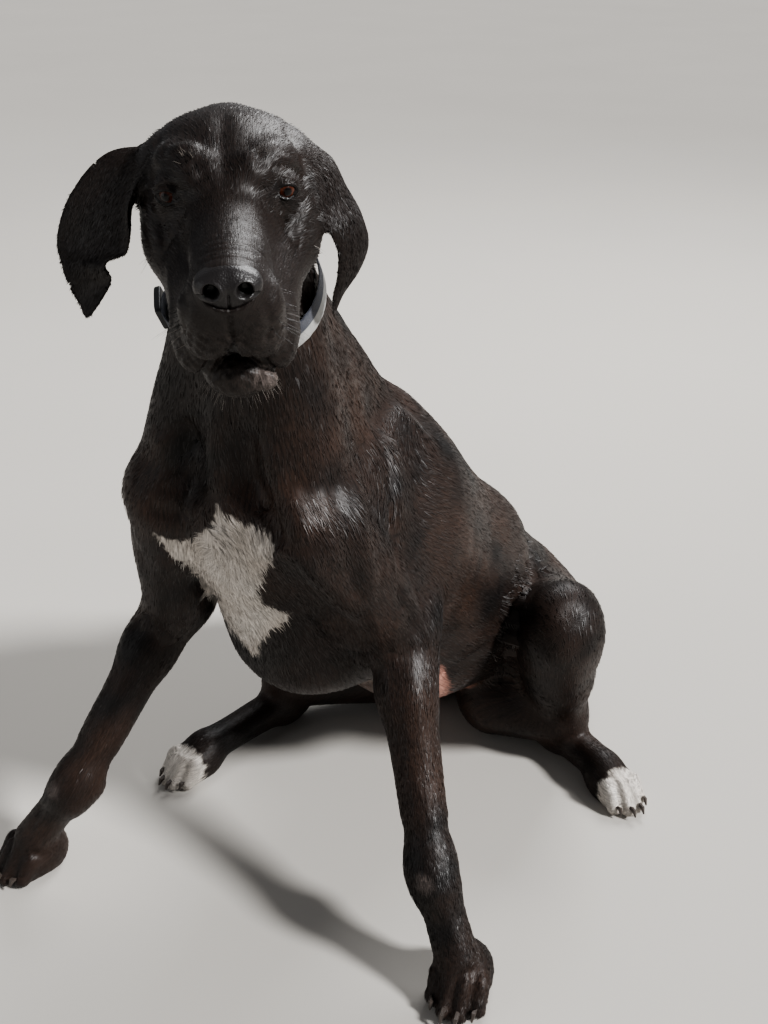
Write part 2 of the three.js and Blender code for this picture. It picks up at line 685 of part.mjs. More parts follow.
// Build every part, give way to the parts before it, and flatten what rests on the floor
const group = new THREE.Group();
const done = [];
const belowFloor = halfSpace(at(0, 0, gap / 2), at(0, 0, -1));
function boxesMeet(a, b) {
  return [0, 1, 2].every((k) => a.min[k] < b.max[k] && b.min[k] < a.max[k]);
}
for (const entry of parts) {
  let solid = entry.shape(0);
  for (const [point, direction, keep] of entry.cuts) {
    solid = solid.subtract(halfSpace(point, direction.clone().multiplyScalar(-keep)));
  }
  solid = solid.subtract(belowFloor);
  for (const other of done) {
    if (boxesMeet(solid.boundingBox(), other.boundingBox())) {
      solid = solid.subtract(other);
    }
  }
  solid = largest(solid);
  let cover = entry.shape(gap * 2);
  for (const [point, direction, keep] of entry.cuts) {
    const cut = point.clone().addScaledVector(direction.clone().normalize(), -keep * gap);
    cover = cover.subtract(halfSpace(cut, direction.clone().multiplyScalar(-keep)));
  }
  done.push(cover);
  const mesh = solid.getMesh();
  const geometry = new THREE.BufferGeometry();
  geometry.setAttribute('position', new THREE.BufferAttribute(new Float32Array(mesh.vertProperties), 3));
  geometry.setIndex(new THREE.BufferAttribute(new Uint32Array(mesh.triVerts), 1));
  geometry.translate(-floorMiddle[0], -floorMiddle[1], 0);
  geometry.computeVertexNormals();
  const piece = new THREE.Mesh(geometry, entry.material());
  piece.name = entry.name;
  group.add(piece);
}

export default group;
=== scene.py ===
"""A seated black Great Dane: one skin over the solids, a short coat, eyes, nose, claws and collar."""

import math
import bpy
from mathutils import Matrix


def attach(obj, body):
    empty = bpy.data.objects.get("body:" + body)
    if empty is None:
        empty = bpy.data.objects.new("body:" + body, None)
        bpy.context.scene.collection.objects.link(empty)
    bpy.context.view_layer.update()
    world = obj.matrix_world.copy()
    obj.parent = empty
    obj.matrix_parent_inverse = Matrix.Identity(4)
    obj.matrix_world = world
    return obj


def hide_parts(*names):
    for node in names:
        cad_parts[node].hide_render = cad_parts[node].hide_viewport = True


bl_info = {
    "name": "Seated Great Dane",
    "version": (1, 0, 0),
    "blender": (4, 5, 0),
    "location": "3D View > Sidebar > Great Dane",
    "description": "Skin, short coat, eyes, nose leather, claws and collar of a seated Great Dane",
    "category": "Object",
}

from collections import namedtuple

import bmesh
import bpy
import numpy as np
from bpy.props import FloatProperty, FloatVectorProperty, IntProperty, PointerProperty
from mathutils import Euler, Matrix, Vector

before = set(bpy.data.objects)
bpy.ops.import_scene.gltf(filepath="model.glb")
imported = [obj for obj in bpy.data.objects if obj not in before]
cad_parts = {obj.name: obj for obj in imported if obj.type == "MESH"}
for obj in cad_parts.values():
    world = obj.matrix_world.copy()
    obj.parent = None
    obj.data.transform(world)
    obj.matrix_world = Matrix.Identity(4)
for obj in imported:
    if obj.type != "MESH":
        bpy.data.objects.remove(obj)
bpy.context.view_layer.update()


# Colour helper: sRGB hex to linear
def linear(hex_code):
    channels = [int(hex_code[i:i + 2], 16) / 255 for i in (1, 3, 5)]
    return [c / 12.92 if c <= 0.04045 else ((c + 0.055) / 1.055) ** 2.4 for c in channels]


def colour(name, hex_code, description):
    return FloatVectorProperty(name=name, description=description, subtype="COLOR", size=3,
                               default=linear(hex_code), min=0, max=1)


class DaneSizes(bpy.types.PropertyGroup):
    """Sizes that a user may change"""
    voxel: FloatProperty(name="Skin grid", description="Grid that the bars are joined on",
                         default=0.0033, subtype="DISTANCE")
    faces: IntProperty(name="Skin faces", description="Triangles kept before the skin is refined",
                       default=56000)
    tufts: FloatProperty(name="Tuft number", description="Share of the full number of tufts", default=1.0)
    eye_radius: FloatProperty(name="Eye radius", description="Radius of the eyeball, mm", default=12.5)
    strap_width: FloatProperty(name="Strap width", description="Width of the collar, mm", default=25.0)


class DaneColours(bpy.types.PropertyGroup):
    """Colours that a user may change"""
    coat: colour("Coat", "#13100f", "Black hair with a warm brown tint")
    coat_brown: colour("Brown tint", "#33251e", "Sun-browned hair on chest and flanks")
    white: colour("White", "#cdc9c3", "Chest patch and hind toes")
    bare_tan: colour("Belly", "#5a4234", "Thin-haired belly skin")
    bare_pink: colour("Groin", "#a5786b", "Bare groin skin")
    leather: colour("Nose", "#141212", "Nose leather")


# Geometry helpers. All shapes are worked out in millimetres in the dog's own axes:
# x to its left, y backwards, z up. The last step moves them to the frame, in metres.
SHIFT = np.array((-1.5, 246.17, 0.0))
SIDEWAYS = np.array((1.0, 0.0, 0.0))
UP = np.array((0.0, 0.0, 1.0))


def vec(*xyz):
    return np.array(xyz, float)


def unit(v):
    v = np.asarray(v, float)
    return v / np.maximum(np.linalg.norm(v, axis=-1, keepdims=True), 1e-9)


def mix(a, b, t):
    return a + (b - a) * t


def smooth(x, low, high):
    """Smooth step: 0 below low, 1 above high, with level ends."""
    t = np.clip((x - low) / (high - low), 0, 1)
    return t * t * (3 - 2 * t)


def bell(x, width):
    """Bell curve: 1 at 0, falling off within about a width to either side."""
    return np.exp(-(x / width) ** 2)


def circle(count):
    """Angles of evenly spaced points around a circle."""
    return np.linspace(0, 2 * math.pi, count, endpoint=False)


def norms(vectors):
    """Length of each vector."""
    return np.linalg.norm(vectors, axis=1)


def to_frame(mm):
    return (mm + SHIFT) / 1000


def to_dog(metres):
    return metres * 1000 - SHIFT


# Skeleton
WITHERS = vec(-6, -300, 590)
CHEST_TOP = vec(0, -215, 505)
LOIN = vec(18, -70, 350)
CROUP = vec(24, 60, 215)
MANUBRIUM = vec(0, -540, 535)
LEFT = dict(
    side=1, shoulder=vec(96, -512, 534), blade_top=vec(46, -318, 556), elbow=vec(122, -404, 362),
    carpus=vec(242, -506, 140), paw=vec(300, -528, 36), paw_aim=unit(vec(0.28, -0.96, 0)),
    hip=vec(62, 26, 132), knee=vec(195, -143, 265), hock=vec(168, -72, 31),
    foot=vec(292, -124, 28), foot_aim=unit(vec(0.9, -0.42, 0)),
)
RIGHT = dict(
    side=-1, shoulder=vec(-107, -532, 524), blade_top=vec(-52, -318, 552), elbow=vec(-152, -486, 345),
    carpus=vec(-192, -646, 138), paw=vec(-254, -690, 36), paw_aim=unit(vec(-0.2, -0.98, 0)),
    hip=vec(-52, 34, 132), knee=vec(-168, -168, 280), hock=vec(-196, -262, 33),
    foot=vec(-218, -440, 28), foot_aim=unit(vec(-0.1, -0.99, 0)),
)
LEGS = ((LEFT, "left"), (RIGHT, "right"))
HEAD_PLACE = vec(85, -606, 890)
HEAD_NOD = 12.0
HEAD_TILT = -1.5
HEAD_TURN = 42.5
EYE_ASIDE = 46.5


def head_matrix():
    """Turn of the head: tilt about its own y, then nod about x, then turn about z."""
    nod, tilt, turn = (math.radians(a) for a in (HEAD_NOD, HEAD_TILT, HEAD_TURN))
    about_z = Matrix.Rotation(turn, 3, "Z")
    about_x = Matrix.Rotation(nod, 3, "X")
    about_y = Matrix.Rotation(tilt, 3, "Y")
    return np.array(about_z @ about_x @ about_y)


HEAD = head_matrix()


def head_way(x, forward, z):
    """Direction in the dog's axes from one given to the head's left, forward and up."""
    return unit(HEAD @ vec(x, -forward, z))


def in_head(x, forward, z):
    return HEAD @ vec(x, -forward, z) + HEAD_PLACE


def head_axes(points):
    """Points as left, forward and up of the middle of the eyes."""
    local = (points - HEAD_PLACE) @ HEAD
    local[:, 1] *= -1
    return local


# A bar is a rounded rod with a radius at each end, that may be flattened one way
Bar = namedtuple("Bar", "start end first last flat along blend")


def bar(start, end, first, last, flat=1.0, along=SIDEWAYS, blend=30.0):
    return Bar(start, end, first, last, flat, along, blend)


def ball(centre, radius, flat=1.0, along=SIDEWAYS, blend=25.0):
    return Bar(centre, centre + vec(0, 0, 0.01), radius, radius, flat, along, blend)


def bar_distance(b, points):
    """Distance across the bar's axis, stretched where it is flattened, less its radius there."""
    axis = b.end - b.start
    off = points - b.start
    t = np.clip(off @ axis / max(axis @ axis, 1e-9), 0, 1)
    off = off - t[:, None] * axis
    across = off @ b.along
    rest = np.sqrt(np.maximum((off * off).sum(1) - across * across, 0))
    return np.hypot(rest, across / b.flat) - mix(b.first, b.last, t)


def joined(d, e, blend):
    """Smooth union: the lesser distance, lowered by a quarter blend where the two are equal."""
    near = np.maximum(blend - np.abs(d - e), 0) / blend
    return np.minimum(d, e) - near * near * blend / 4


REACH = 70.0
FAR = 1e3


def near_bar(b, points):
    """Rows of the points within reach of a bar."""
    size = max(b.first, b.last) + REACH
    low = np.minimum(b.start, b.end) - size
    high = np.maximum(b.start, b.end) + size
    return np.flatnonzero(np.all((points > low) & (points < high), axis=1))


def bars_distance(bars, points):
    """Distance to the smooth union of some bars."""
    depth = np.full(len(points), FAR)
    for b in bars:
        rows = near_bar(b, points)
        if len(rows):
            depth[rows] = joined(depth[rows], bar_distance(b, points[rows]), b.blend)
    return depth


# Muscles and bones of each part of the body
NAPE = in_head(0, -104, -24)
THROAT = in_head(0, -62, -76)
NECK_TOP = mix(NAPE, THROAT, 0.5)
NECK_ROOT = vec(0, -410, 530)


def trunk_bars():
    """Ribcage, belly, rump, withers, loin, breastbone and seat."""
    return [
        bar(vec(0, -455, 500), vec(0, -330, 405), 118, 168, 0.78, blend=40),
        bar(vec(0, -330, 405), vec(6, -180, 275), 168, 146, 0.80, blend=40),
        bar(vec(6, -188, 258), vec(16, -44, 160), 146, 104, 0.84, blend=50),
        bar(vec(16, -40, 170), vec(22, 62, 118), 104, 92, blend=50),
        bar(WITHERS + vec(0, 14, -62), CHEST_TOP + vec(0, -36, -44), 62, 60, 0.7, blend=50),
        bar(CHEST_TOP + vec(0, -30, -50), LOIN + vec(0, -36, -40), 66, 66, blend=40),
        bar(LOIN + vec(0, -36, -40), CROUP + vec(0, -22, -40), 70, 62, blend=40),
        bar(MANUBRIUM + vec(0, 40, -12), vec(-12, -430, 324), 46, 72, 1.15, blend=60),
        bar(vec(54, 40, 105), vec(60, 74, 46), 66, 54, blend=40),
        bar(vec(-30, 50, 105), vec(-32, 82, 46), 66, 54, blend=40),
    ]


def neck_bars():
    """Crest, throat, middle of the neck and a muscle to each shoulder."""
    return [
        bar(NAPE + vec(-10, -12, -14), WITHERS + vec(0, 2, -68), 24, 67, 0.8, blend=40),
        bar(THROAT, vec(0, -470, 510), 38, 84, blend=50),
        bar(NECK_TOP, NECK_ROOT, 44, 92, 0.95, blend=50),
        bar(NECK_TOP + vec(26, 10, -20), LEFT["shoulder"] + vec(-14, 14, 6), 26, 46, blend=40),
        bar(NECK_TOP + vec(-16, -6, -20), RIGHT["shoulder"] + vec(6, 12, 14), 18, 50, blend=40),
    ]


def blade_bars(leg):
    """Shoulder blade and the muscle behind it."""
    side = leg["side"]
    outward = unit(vec(side * 0.94, -0.25, 0.22))
    return [
        bar(leg["blade_top"], leg["shoulder"], 30, 48, 0.72, outward, 40),
        bar(leg["blade_top"] + vec(side * 14, 10, -40), leg["shoulder"] + vec(side * 6, 30, -34),
            34, 40, 0.7, outward, 40),
    ]


def arm_bars(leg):
    """Upper arm, the muscle from blade to elbow and the one before it."""
    side = leg["side"]
    outward = unit(vec(side * 0.94, -0.25, 0.22))
    point = leg["elbow"] + vec(0, 30, 16)
    return [
        bar(leg["shoulder"], leg["elbow"], 50, 40, 0.9, outward, 40),
        bar(mix(leg["blade_top"], leg["shoulder"], 0.5), point, 54, 26, 0.62, outward, 50),
        bar(leg["shoulder"] + vec(-side * 30, 2, -10), leg["elbow"] + vec(-side * 22, -26, 10),
            46, 32, 0.9, outward, 50),
    ]


def foreleg_bars(leg):
    """Forearm with its muscles, carpus, pastern and paw."""
    elbow, carpus = leg["elbow"], leg["carpus"]
    down = unit(carpus - elbow)
    front = leg["paw_aim"]
    belly = mix(elbow, carpus, 0.22) + front * 12
    fetlock = mix(carpus, leg["paw"], 0.8)
    return [
        bar(elbow, carpus, 31, 24, blend=25),
        bar(elbow, belly, 31, 23, blend=30),
        bar(belly, mix(elbow, carpus, 0.75), 25, 16, blend=25),
        bar(elbow + vec(0, 34, 18), mix(elbow, carpus, 0.3), 24, 22, blend=30),
        bar(carpus - down * 16, carpus + down * 16, 26, 26, blend=20),
        ball(carpus - front * 22 + vec(0, 0, -12), 15, blend=16),
        bar(carpus, fetlock, 25, 25, blend=20),
    ] + paw_bars(leg["paw"], front, 1.0)


def thigh_bars(leg):
    """Thigh from hip to knee, ham, and the ball of the knee."""
    side = leg["side"]
    outward = unit(vec(side * 0.8, -0.5, 0.3))
    hip, knee, hock = leg["hip"], leg["knee"], leg["hock"]
    return [
        bar(hip, knee, 88, 46, 0.72, outward, 40),
        bar(hip + vec(side * 10, 40, -71), mix(knee, hock, 0.45), 66, 48, 0.8, outward, 50),
        bar(hip + vec(0, -50, 20), knee, 56, 43, 0.9, outward, 40),
        bar(hip + vec(side * 10, -110, -68), mix(knee, hock, 0.85), 66, 44, 1, outward, 40),
        ball(knee, 43, 0.95, outward, 30),
    ]


def shin_bars(leg):
    """Shin, calf and tendon to the heel."""
    knee, hock = leg["knee"], leg["hock"]
    heel = hock - leg["foot_aim"] * 26 + vec(0, 0, 4)
    return [
        bar(mix(knee, hock, 0.05), hock, 45, 27, blend=30),
        bar(mix(knee, hock, 0.12), mix(knee, hock, 0.5), 50, 36, blend=40),
        bar(mix(knee, heel, 0.45), heel, 30, 17, blend=20),
    ]


HIND_SIZE = 0.88


def hind_foot_bars(leg):
    """Heel, instep and hind paw, all flat on the floor."""
    aim = leg["foot_aim"]
    heel = leg["hock"] - aim * 24 + vec(0, 0, -8)
    sole = leg["foot"] - aim * 44 + vec(0, 0, 4)
    return [
        bar(heel, leg["hock"], 25, 29, blend=20),
        bar(leg["hock"], sole, 27, 25, blend=20),
    ] + paw_bars(leg["foot"], aim, HIND_SIZE)


TOES = 4
TOE_SPREAD = 14.0
TOE_RADIUS = 14.5


def toe_line(place, aim, index, size):
    """Root, knuckle and tip of a toe, fanned out from the middle of the paw."""
    across = vec(-aim[1], aim[0], 0)
    step = index - (TOES - 1) / 2
    reach = 34 if abs(step) < 1 else 20
    root = place + across * step * TOE_SPREAD * size * 0.8 - aim * 18 * size
    tip = place + across * step * TOE_SPREAD * size * 1.15 + aim * reach * size
    knuckle = mix(root, tip, 0.55)
    root[2] = 32 * size
    knuckle[2] = 34 * size
    tip[2] = TOE_RADIUS * size - 1.5
    return root, knuckle, tip


def paw_bars(place, aim, size):
    """Back of the paw, its pad and two bars for each toe."""
    flat = vec(1, 1, 0)
    bars = [
        bar((place - aim * 28 * size) * flat + vec(0, 0, 25 * size), place * flat + vec(0, 0, 22 * size),
            25 * size, 24 * size),
        bar((place - aim * 16 * size) * flat + vec(0, 0, 14), (place + aim * 6) * flat + vec(0, 0, 14),
            26 * size, 26 * size),
    ]
    for i in range(TOES):
        root, knuckle, tip = toe_line(place, aim, i, size)
        bars.append(bar(root, knuckle, TOE_RADIUS * size, TOE_RADIUS * size * 0.96, blend=5))
        bars.append(bar(knuckle, tip, TOE_RADIUS * size * 0.96, TOE_RADIUS * size * 0.86, blend=6))
    return bars


TAIL = [vec(20, 84, 104), vec(8, 150, 46), vec(-40, 208, 19), vec(-130, 238, 14.5), vec(-236, 216, 11),
        vec(-330, 150, 6.5)]
TAIL_RADIUS = [32, 25, 19, 15.5, 12, 7.5]


def tail_bars():
    return [bar(TAIL[i], TAIL[i + 1], TAIL_RADIUS[i], TAIL_RADIUS[i + 1], blend=8) for i in range(5)]


CHEEK = 78.0
LIP = 49.0
LOBE = in_head(22, 114, -116)


def head_bars():
    """Skull, occiput, brow, stop, bridge and muzzle, then cheeks, eyes, lips and pads by pairs."""
    flat = head_way(1, 0, 0)
    upright = head_way(0, 0, 1)
    bars = [
        bar(in_head(0, -104, -24), in_head(0, -44, -12), 50, 51, 1.24, flat, 30),
        bar(in_head(0, -136, -4), in_head(0, -80, 6), 18, 28, 1.2, flat, 30),
        bar(in_head(0, -44, 8), in_head(0, 2, 8), 30, 24, 1.5, flat, 26),
        bar(in_head(0, -60, -34), in_head(0, -12, -38), 48, 42, 1.1, flat, 40),
        bar(in_head(0, 10, -14), in_head(0, 140, -16), 26, 23, 1.15, flat, 26),
        bar(in_head(0, 30, -50), in_head(0, 116, -54), 34, 34, 1.16, flat, 30),
    ]
    for s in (1, -1):
        bars += [
            bar(in_head(s * (CHEEK - 19), -64, -8), in_head(s * (CHEEK - 26), -16, -22),
                19, 12, 1, flat, 26),
            bar(in_head(s * (CHEEK - 31), -58, -44), in_head(s * (CHEEK - 34), -16, -58),
                32, 28, 1, flat, 30),
            bar(in_head(s * (CHEEK - 34), -16, -58), in_head(s * (LIP - 12), 44, -74),
                26, 18, 1, flat, 30),
            bar(in_head(s * 46, -20, 19), in_head(s * 26, 8, 20), 13, 13, 1, flat, 18),
            ball(in_head(s * 33, -68, -5), 31, 1, flat, 26),
            ball(in_head(s * EYE_ASIDE, 2, 0), 15.4, 1, flat, 11),
            bar(in_head(s * (LIP - 21), 34, -62), in_head(s * (LIP - 20), 96, -80), 18, 21, 1, flat, 25),
            bar(in_head(s * (LIP - 14), 62, -92), in_head(s * (LIP - 18), 102, -97), 17, 18, 1, flat, 20),
            bar(in_head(s * 20, 126, -42), in_head(s * 19, 126, -66), 22, 19, 1, upright, 14),
        ]
    return bars


def jaw_bars():
    """Lower jaw, chin and the lobe of the lower lip."""
    flat = head_way(1, 0, 0)
    return [
        bar(in_head(0, -30, -78), in_head(0, 92, -116), 32, 22, 1.2, flat, 25),
        bar(in_head(0, 84, -118), in_head(0, 108, -116), 22, 19, 1.3, flat, 20),
        ball(LOBE, 12, blend=4),
    ]


def body_groups():
    """Each part's bars, how far its skin lies inside the solid, its blend with what is before it,
    and the part of the unwrap and of the coat that it belongs to."""
    groups = [
        ("trunk", trunk_bars(), 3.0, 30, "trunk"),
        ("neck", neck_bars(), 2.6, 26, "neck"),
    ]
    for leg, label in LEGS:
        groups += [
            ("blade_" + label, blade_bars(leg), 2.6, 18, "trunk"),
            ("arm_" + label, arm_bars(leg), 2.6, 20, "foreleg_" + label),
            ("foreleg_" + label, foreleg_bars(leg), 1.8, 18, "foreleg_" + label),
            ("thigh_" + label, thigh_bars(leg), 2.8, 18, "thigh_" + label),
            ("shin_" + label, shin_bars(leg), 2.0, 12, "thigh_" + label),
            ("hind_foot_" + label, hind_foot_bars(leg), 1.6, 14, "hind_foot_" + label),
        ]
    groups += [
        ("tail", tail_bars(), 2.2, 16, "tail"),
        ("head", head_bars(), 1.8, 24, "head"),
        ("jaw", jaw_bars(), 1.8, 3, "head"),
    ]
    return groups


# Ears: stations from root to tip, in the head's axes: middle, half width, way of the width, cupping
EAR_LEFT = [
    ((61, -58, 9), 22, (0.1, 0.97, 0.2), 4),
    ((85, -56, -10), 32, (-0.17, 0.98, -0.13), 10),
    ((95, -50, -36), 38, (-0.38, 0.91, 0.1), 12),
    ((106, -46, -56), 36, (-0.38, 0.91, 0.18), 10),
    ((112, -42, -80), 32, (-0.43, 0.86, 0.27), 8),
    ((106, -36, -102), 26, (-0.39, 0.87, 0.3), 6),
    ((94, -30, -122), 16, (-0.29, 0.9, 0.32), 3),
    ((88, -26, -138), 8, (-0.2, 0.95, 0.2), 0),
]
EAR_RIGHT = [
    ((-60, -58, 6), 22, (-0.05, 0.97, 0.1), 4),
    ((-90, -54, -13), 34, (0.3, 0.93, -0.23), 12),
    ((-108, -46, -40), 44, (0.59, 0.8, -0.08), 14),
    ((-121, -38, -67), 48, (0.68, 0.72, 0.16), 12),
    ((-131, -34, -82), 31, (0.69, 0.65, 0.32), 8),
    ((-128, -30, -101), 28, (0.71, 0.55, 0.44), 6),
    ((-139, -26, -129), 8, (0.6, 0.75, 0.2), 0),
]
EAR_SKIN = 4.6
EAR_SPREAD = 0.5
EAR_ROWS = 60
EAR_COLUMNS = 25


def along_path(points, t):
    """Catmull-Rom curve through the points, at t from 0 to 1 along them."""
    points = np.asarray(points, float)
    last = len(points) - 1
    x = np.clip(np.asarray(t, float) * last, 0, last)
    i = np.minimum(x.astype(int), last - 1)
    f = (x - i)[..., None]
    padded = np.vstack([2 * points[0] - points[1], points, 2 * points[-1] - points[-2]])
    p0, p1, p2, p3 = (padded[i + k] for k in range(4))
    return 0.5 * (2 * p1 + (p2 - p0) * f + (2 * p0 - 5 * p1 + 4 * p2 - p3) * f ** 2
                  + (3 * p1 - p0 - 3 * p2 + p3) * f ** 3)


def ear_frames(stations, t):
    """Middle, width direction, outward direction, half width and cupping at t along the ear."""
    middle = along_path([in_head(*s[0]) for s in stations], t)
    wide = unit(along_path([head_way(*s[2]) for s in stations], t))
    ahead = along_path([in_head(*s[0]) for s in stations], np.minimum(t + 0.01, 1))
    behind = along_path([in_head(*s[0]) for s in stations], np.maximum(t - 0.01, 0))
    out = unit(np.cross(wide, unit(ahead - behind)))
    size = along_path([(s[1], s[3], 0) for s in stations], t)
    return middle, wide, out, size[..., 0:1], size[..., 1:2]


def ear_middle(stations, t, across):
    """Middle surface of the flap: a shallow trough, across from -1 at the back rim to 1."""
    middle, wide, out, half, cup = ear_frames(stations, t)
    ends = np.sqrt(np.maximum(1 - np.maximum(2 * t - 1, 0) ** 8, 0))[..., None]
    across = across[..., None]
    return middle + wide * across * (half + EAR_SPREAD) * ends + out * cup * (0.4 - across * across)


def off_edge(edge, normal, way):
    """Unit way that leaves an edge square to it within the surface, on the given side."""
    out = unit(np.cross(edge, normal))
    return out * np.sign((out * way).sum(-1, keepdims=True))


def ear_samples(stations, rows=EAR_ROWS, columns=EAR_COLUMNS):
    """Points on the middle surface with their normals, rim directions and half thickness."""
    t = np.linspace(0.0, 0.99, rows)[:, None] * np.ones(columns)
    across = np.sin(np.linspace(-math.pi / 2, math.pi / 2, columns)) * np.ones((rows, 1))
    points = ear_middle(stations, t, across)
    along = np.gradient(points, axis=0)
    wide = np.gradient(points, axis=1)
    normal = unit(np.cross(along, wide))
    rim = np.zeros_like(points)
    rim[:, 0] += off_edge(along[:, 0], normal[:, 0], -wide[:, 0])
    rim[:, -1] += off_edge(along[:, -1], normal[:, -1], wide[:, -1])
    rim[-1] += off_edge(wide[-1], normal[-1], along[-1])
    rim[0] += off_edge(wide[0], normal[0], -along[0])
    rim = unit(rim) * (np.linalg.norm(rim, axis=-1, keepdims=True) > 0)
    thick = EAR_SKIN / 2 * (1 - 0.3 * np.abs(across) ** 3) * (1 - 0.2 * t)
    flat = [a.reshape(-1, a.shape[-1]) for a in (points, normal, rim)]
    return flat[0], flat[1], flat[2], thick.ravel()


EAR_SAMPLES = [ear_samples(EAR_LEFT), ear_samples(EAR_RIGHT)]


def rows_near(points, spots, reach):
    """Rows of the points that lie in the spots' box, widened by a reach."""
    inside = (points > spots.min(0) - reach) & (points < spots.max(0) + reach)
    return np.flatnonzero(np.all(inside, axis=1))


def nearest_spot(points, spots):
    """Row of the spot nearest to each point and the square of its distance, block by block."""
    nearest = np.zeros(len(points), int)
    square = np.zeros(len(points))
    for part in np.array_split(np.arange(len(points)), max(len(points) // 4000, 1)):
        p = points[part]
        table = (p * p).sum(1)[:, None] + (spots * spots).sum(1)[None] - 2 * p @ spots.T
        nearest[part] = table.argmin(1)
        square[part] = table.min(1)
    return nearest, square


def ear_distance(samples, points):
    """Distance off the nearest sample of the middle surface, joined at the rim with the distance
    beyond the rim, less half the thickness there."""
    spots, normals, rims, thick = samples
    depth = np.full(len(points), FAR)
    rows = rows_near(points, spots, 25)
    nearest, _ = nearest_spot(points[rows], spots)
    off = points[rows] - spots[nearest]
    away = (off * normals[nearest]).sum(1)
    beyond = np.maximum((off * rims[nearest]).sum(1), 0)
    depth[rows] = np.hypot(away, beyond) - thick[nearest]
    return depth


RIM_CATCH = 1.7


def snapped_rims(points):
    """Moves the points on the round rim of an ear out to its outermost line, so that it runs even."""
    points = points.copy()
    for samples in EAR_SAMPLES:
        edge = norms(samples[2]) > 0
        spots, normals, rims, thick = (part[edge] for part in samples)
        rows = np.flatnonzero(ear_distance(samples, points) < 1.5)
        nearest, square = nearest_spot(points[rows], spots)
        off = points[rows] - spots[nearest]
        beyond = (off * rims[nearest]).sum(1)
        away = (off * normals[nearest]).sum(1)
        moved = (beyond > -RIM_CATCH) & (square < 36) & (np.abs(away) < 3)
        shift = rims[nearest] * (thick[nearest] - beyond)[:, None] - normals[nearest] * away[:, None]
        points[rows] = points[rows] + shift * moved[:, None]
    return points


def rim_distance(points):
    """Distance off the rims of the ears."""
    edges = np.vstack([s[0][norms(s[2]) > 0] for s in EAR_SAMPLES])
    far = np.full(len(points), FAR)
    rows = rows_near(points, edges, 20)
    nearest = nearest_spot(points[rows], edges)[0]
    far[rows] = norms(points[rows] - edges[nearest])
    return far


GROUPS = body_groups()


def skin_distance(points):
    """Signed distance to the skin: the parts of the body one after another, joined smoothly."""
    depth = np.full(len(points), FAR)
    forward = head_axes(points)[:, 1]
    for name, bars, inset, blend, _ in GROUPS:
        part = bars_distance(bars, points) + inset
        width = np.interp(forward, (-20, 40), (30, 3)) if name == "jaw" else blend
        depth = joined(depth, part, width)
    for samples in EAR_SAMPLES:
        depth = joined(depth, ear_distance(samples, points), 12)
    return depth


# Mesh helpers
def tube_faces(rows, columns):
    """Quads of a grid that closes around, with a point at both ends."""
    ring = 1 + np.arange(rows - 2)[:, None] * columns + np.arange(columns)
    follow = np.roll(ring, -1, axis=1)
    quads = np.stack([ring[:-1], follow[:-1], follow[1:], ring[1:]], -1).reshape(-1, 4)
    last = 1 + (rows - 2) * columns
    start = np.stack([np.zeros(columns, int), follow[0], ring[0]], -1)
    end = np.stack([np.full(columns, last), ring[-1], follow[-1]], -1)
    return quads, np.vstack([start, end])


def tube_mesh(grid):
    """Vertices and faces of a closed tube from a grid of points whose first and last rows are poles."""
    rows, columns = grid.shape[:2]
    points = np.vstack([grid[0, :1], grid[1:-1].reshape(-1, 3), grid[-1, :1]])
    quads, fans = tube_faces(rows, columns)
    return points, quads.tolist() + fans.tolist()


def gathered(meshes):
    """The points and faces of several meshes as one."""
    points = []
    faces = []
    count = 0
    for some, own_faces in meshes:
        points.append(some)
        faces += [[i + count for i in face] for face in own_faces]
        count += len(some)
    return np.vstack(points), faces


def bar_grid(b, grow, around=18, rows=7):
    """Rounded bar: a circle carried from end to end, closing in a half circle at both ends."""
    axis = b.end - b.start
    way = unit(axis) if np.linalg.norm(axis) > 1 else UP
    side = unit(np.cross(way, SIDEWAYS if abs(way[0]) < 0.8 else UP))
    top = np.cross(way, side)
    cap = np.linspace(-math.pi / 2, 0, 6)
    tilt = np.concatenate([cap, np.zeros(rows), -cap[::-1]])
    t = np.concatenate([np.zeros(6), np.linspace(0, 1, rows), np.ones(6)])
    radius = mix(b.first, b.last, t) + grow
    angle = circle(around)
    ring = np.cos(angle)[:, None] * side + np.sin(angle)[:, None] * top
    off = (np.cos(tilt) * radius)[:, None, None] * ring + (np.sin(tilt) * radius)[:, None, None] * way
    across = off @ b.along
    off = off + (across * (b.flat - 1))[..., None] * b.along
    return b.start + t[:, None, None] * axis + off


def ear_grid(stations, thickness, rows=26, around=28):
    """Lens section carried from the ear's root to its tip."""
    t = np.linspace(0, 1, rows)[:, None] * np.ones(around)
    angle = circle(around) * np.ones((rows, 1))
    middle, wide, out, half, cup = ear_frames(stations, t)
    ends = np.sqrt(np.maximum(1 - (2 * t - 1) ** 8, 0))[..., None]
    across = np.cos(angle)[..., None]
    thick = np.sin(angle)[..., None] * thickness / 2 * ends
    return middle + wide * across * half * ends + out * (thick + cup * (0.4 - across * across))


def new_mesh(name, points, faces):
    mesh = bpy.data.meshes.new(name)
    mesh.from_pydata(points.tolist() if isinstance(points, np.ndarray) else points, [], faces)
    mesh.update()
    return mesh


def new_piece(name, mesh):
    piece = bpy.data.objects.new(name, mesh)
    bpy.context.scene.collection.objects.link(piece)
    return piece


def coordinates(mesh):
    points = np.empty(len(mesh.vertices) * 3)
    mesh.vertices.foreach_get("co", points)
    return points.reshape(-1, 3)


def set_coordinates(mesh, points):
    mesh.vertices.foreach_set("co", points.ravel())
    mesh.update()


def triangles(mesh):
    mesh.calc_loop_triangles()
    corners = np.empty(len(mesh.loop_triangles) * 3, np.int32)
    mesh.loop_triangles.foreach_get("vertices", corners)
    return corners.reshape(-1, 3)


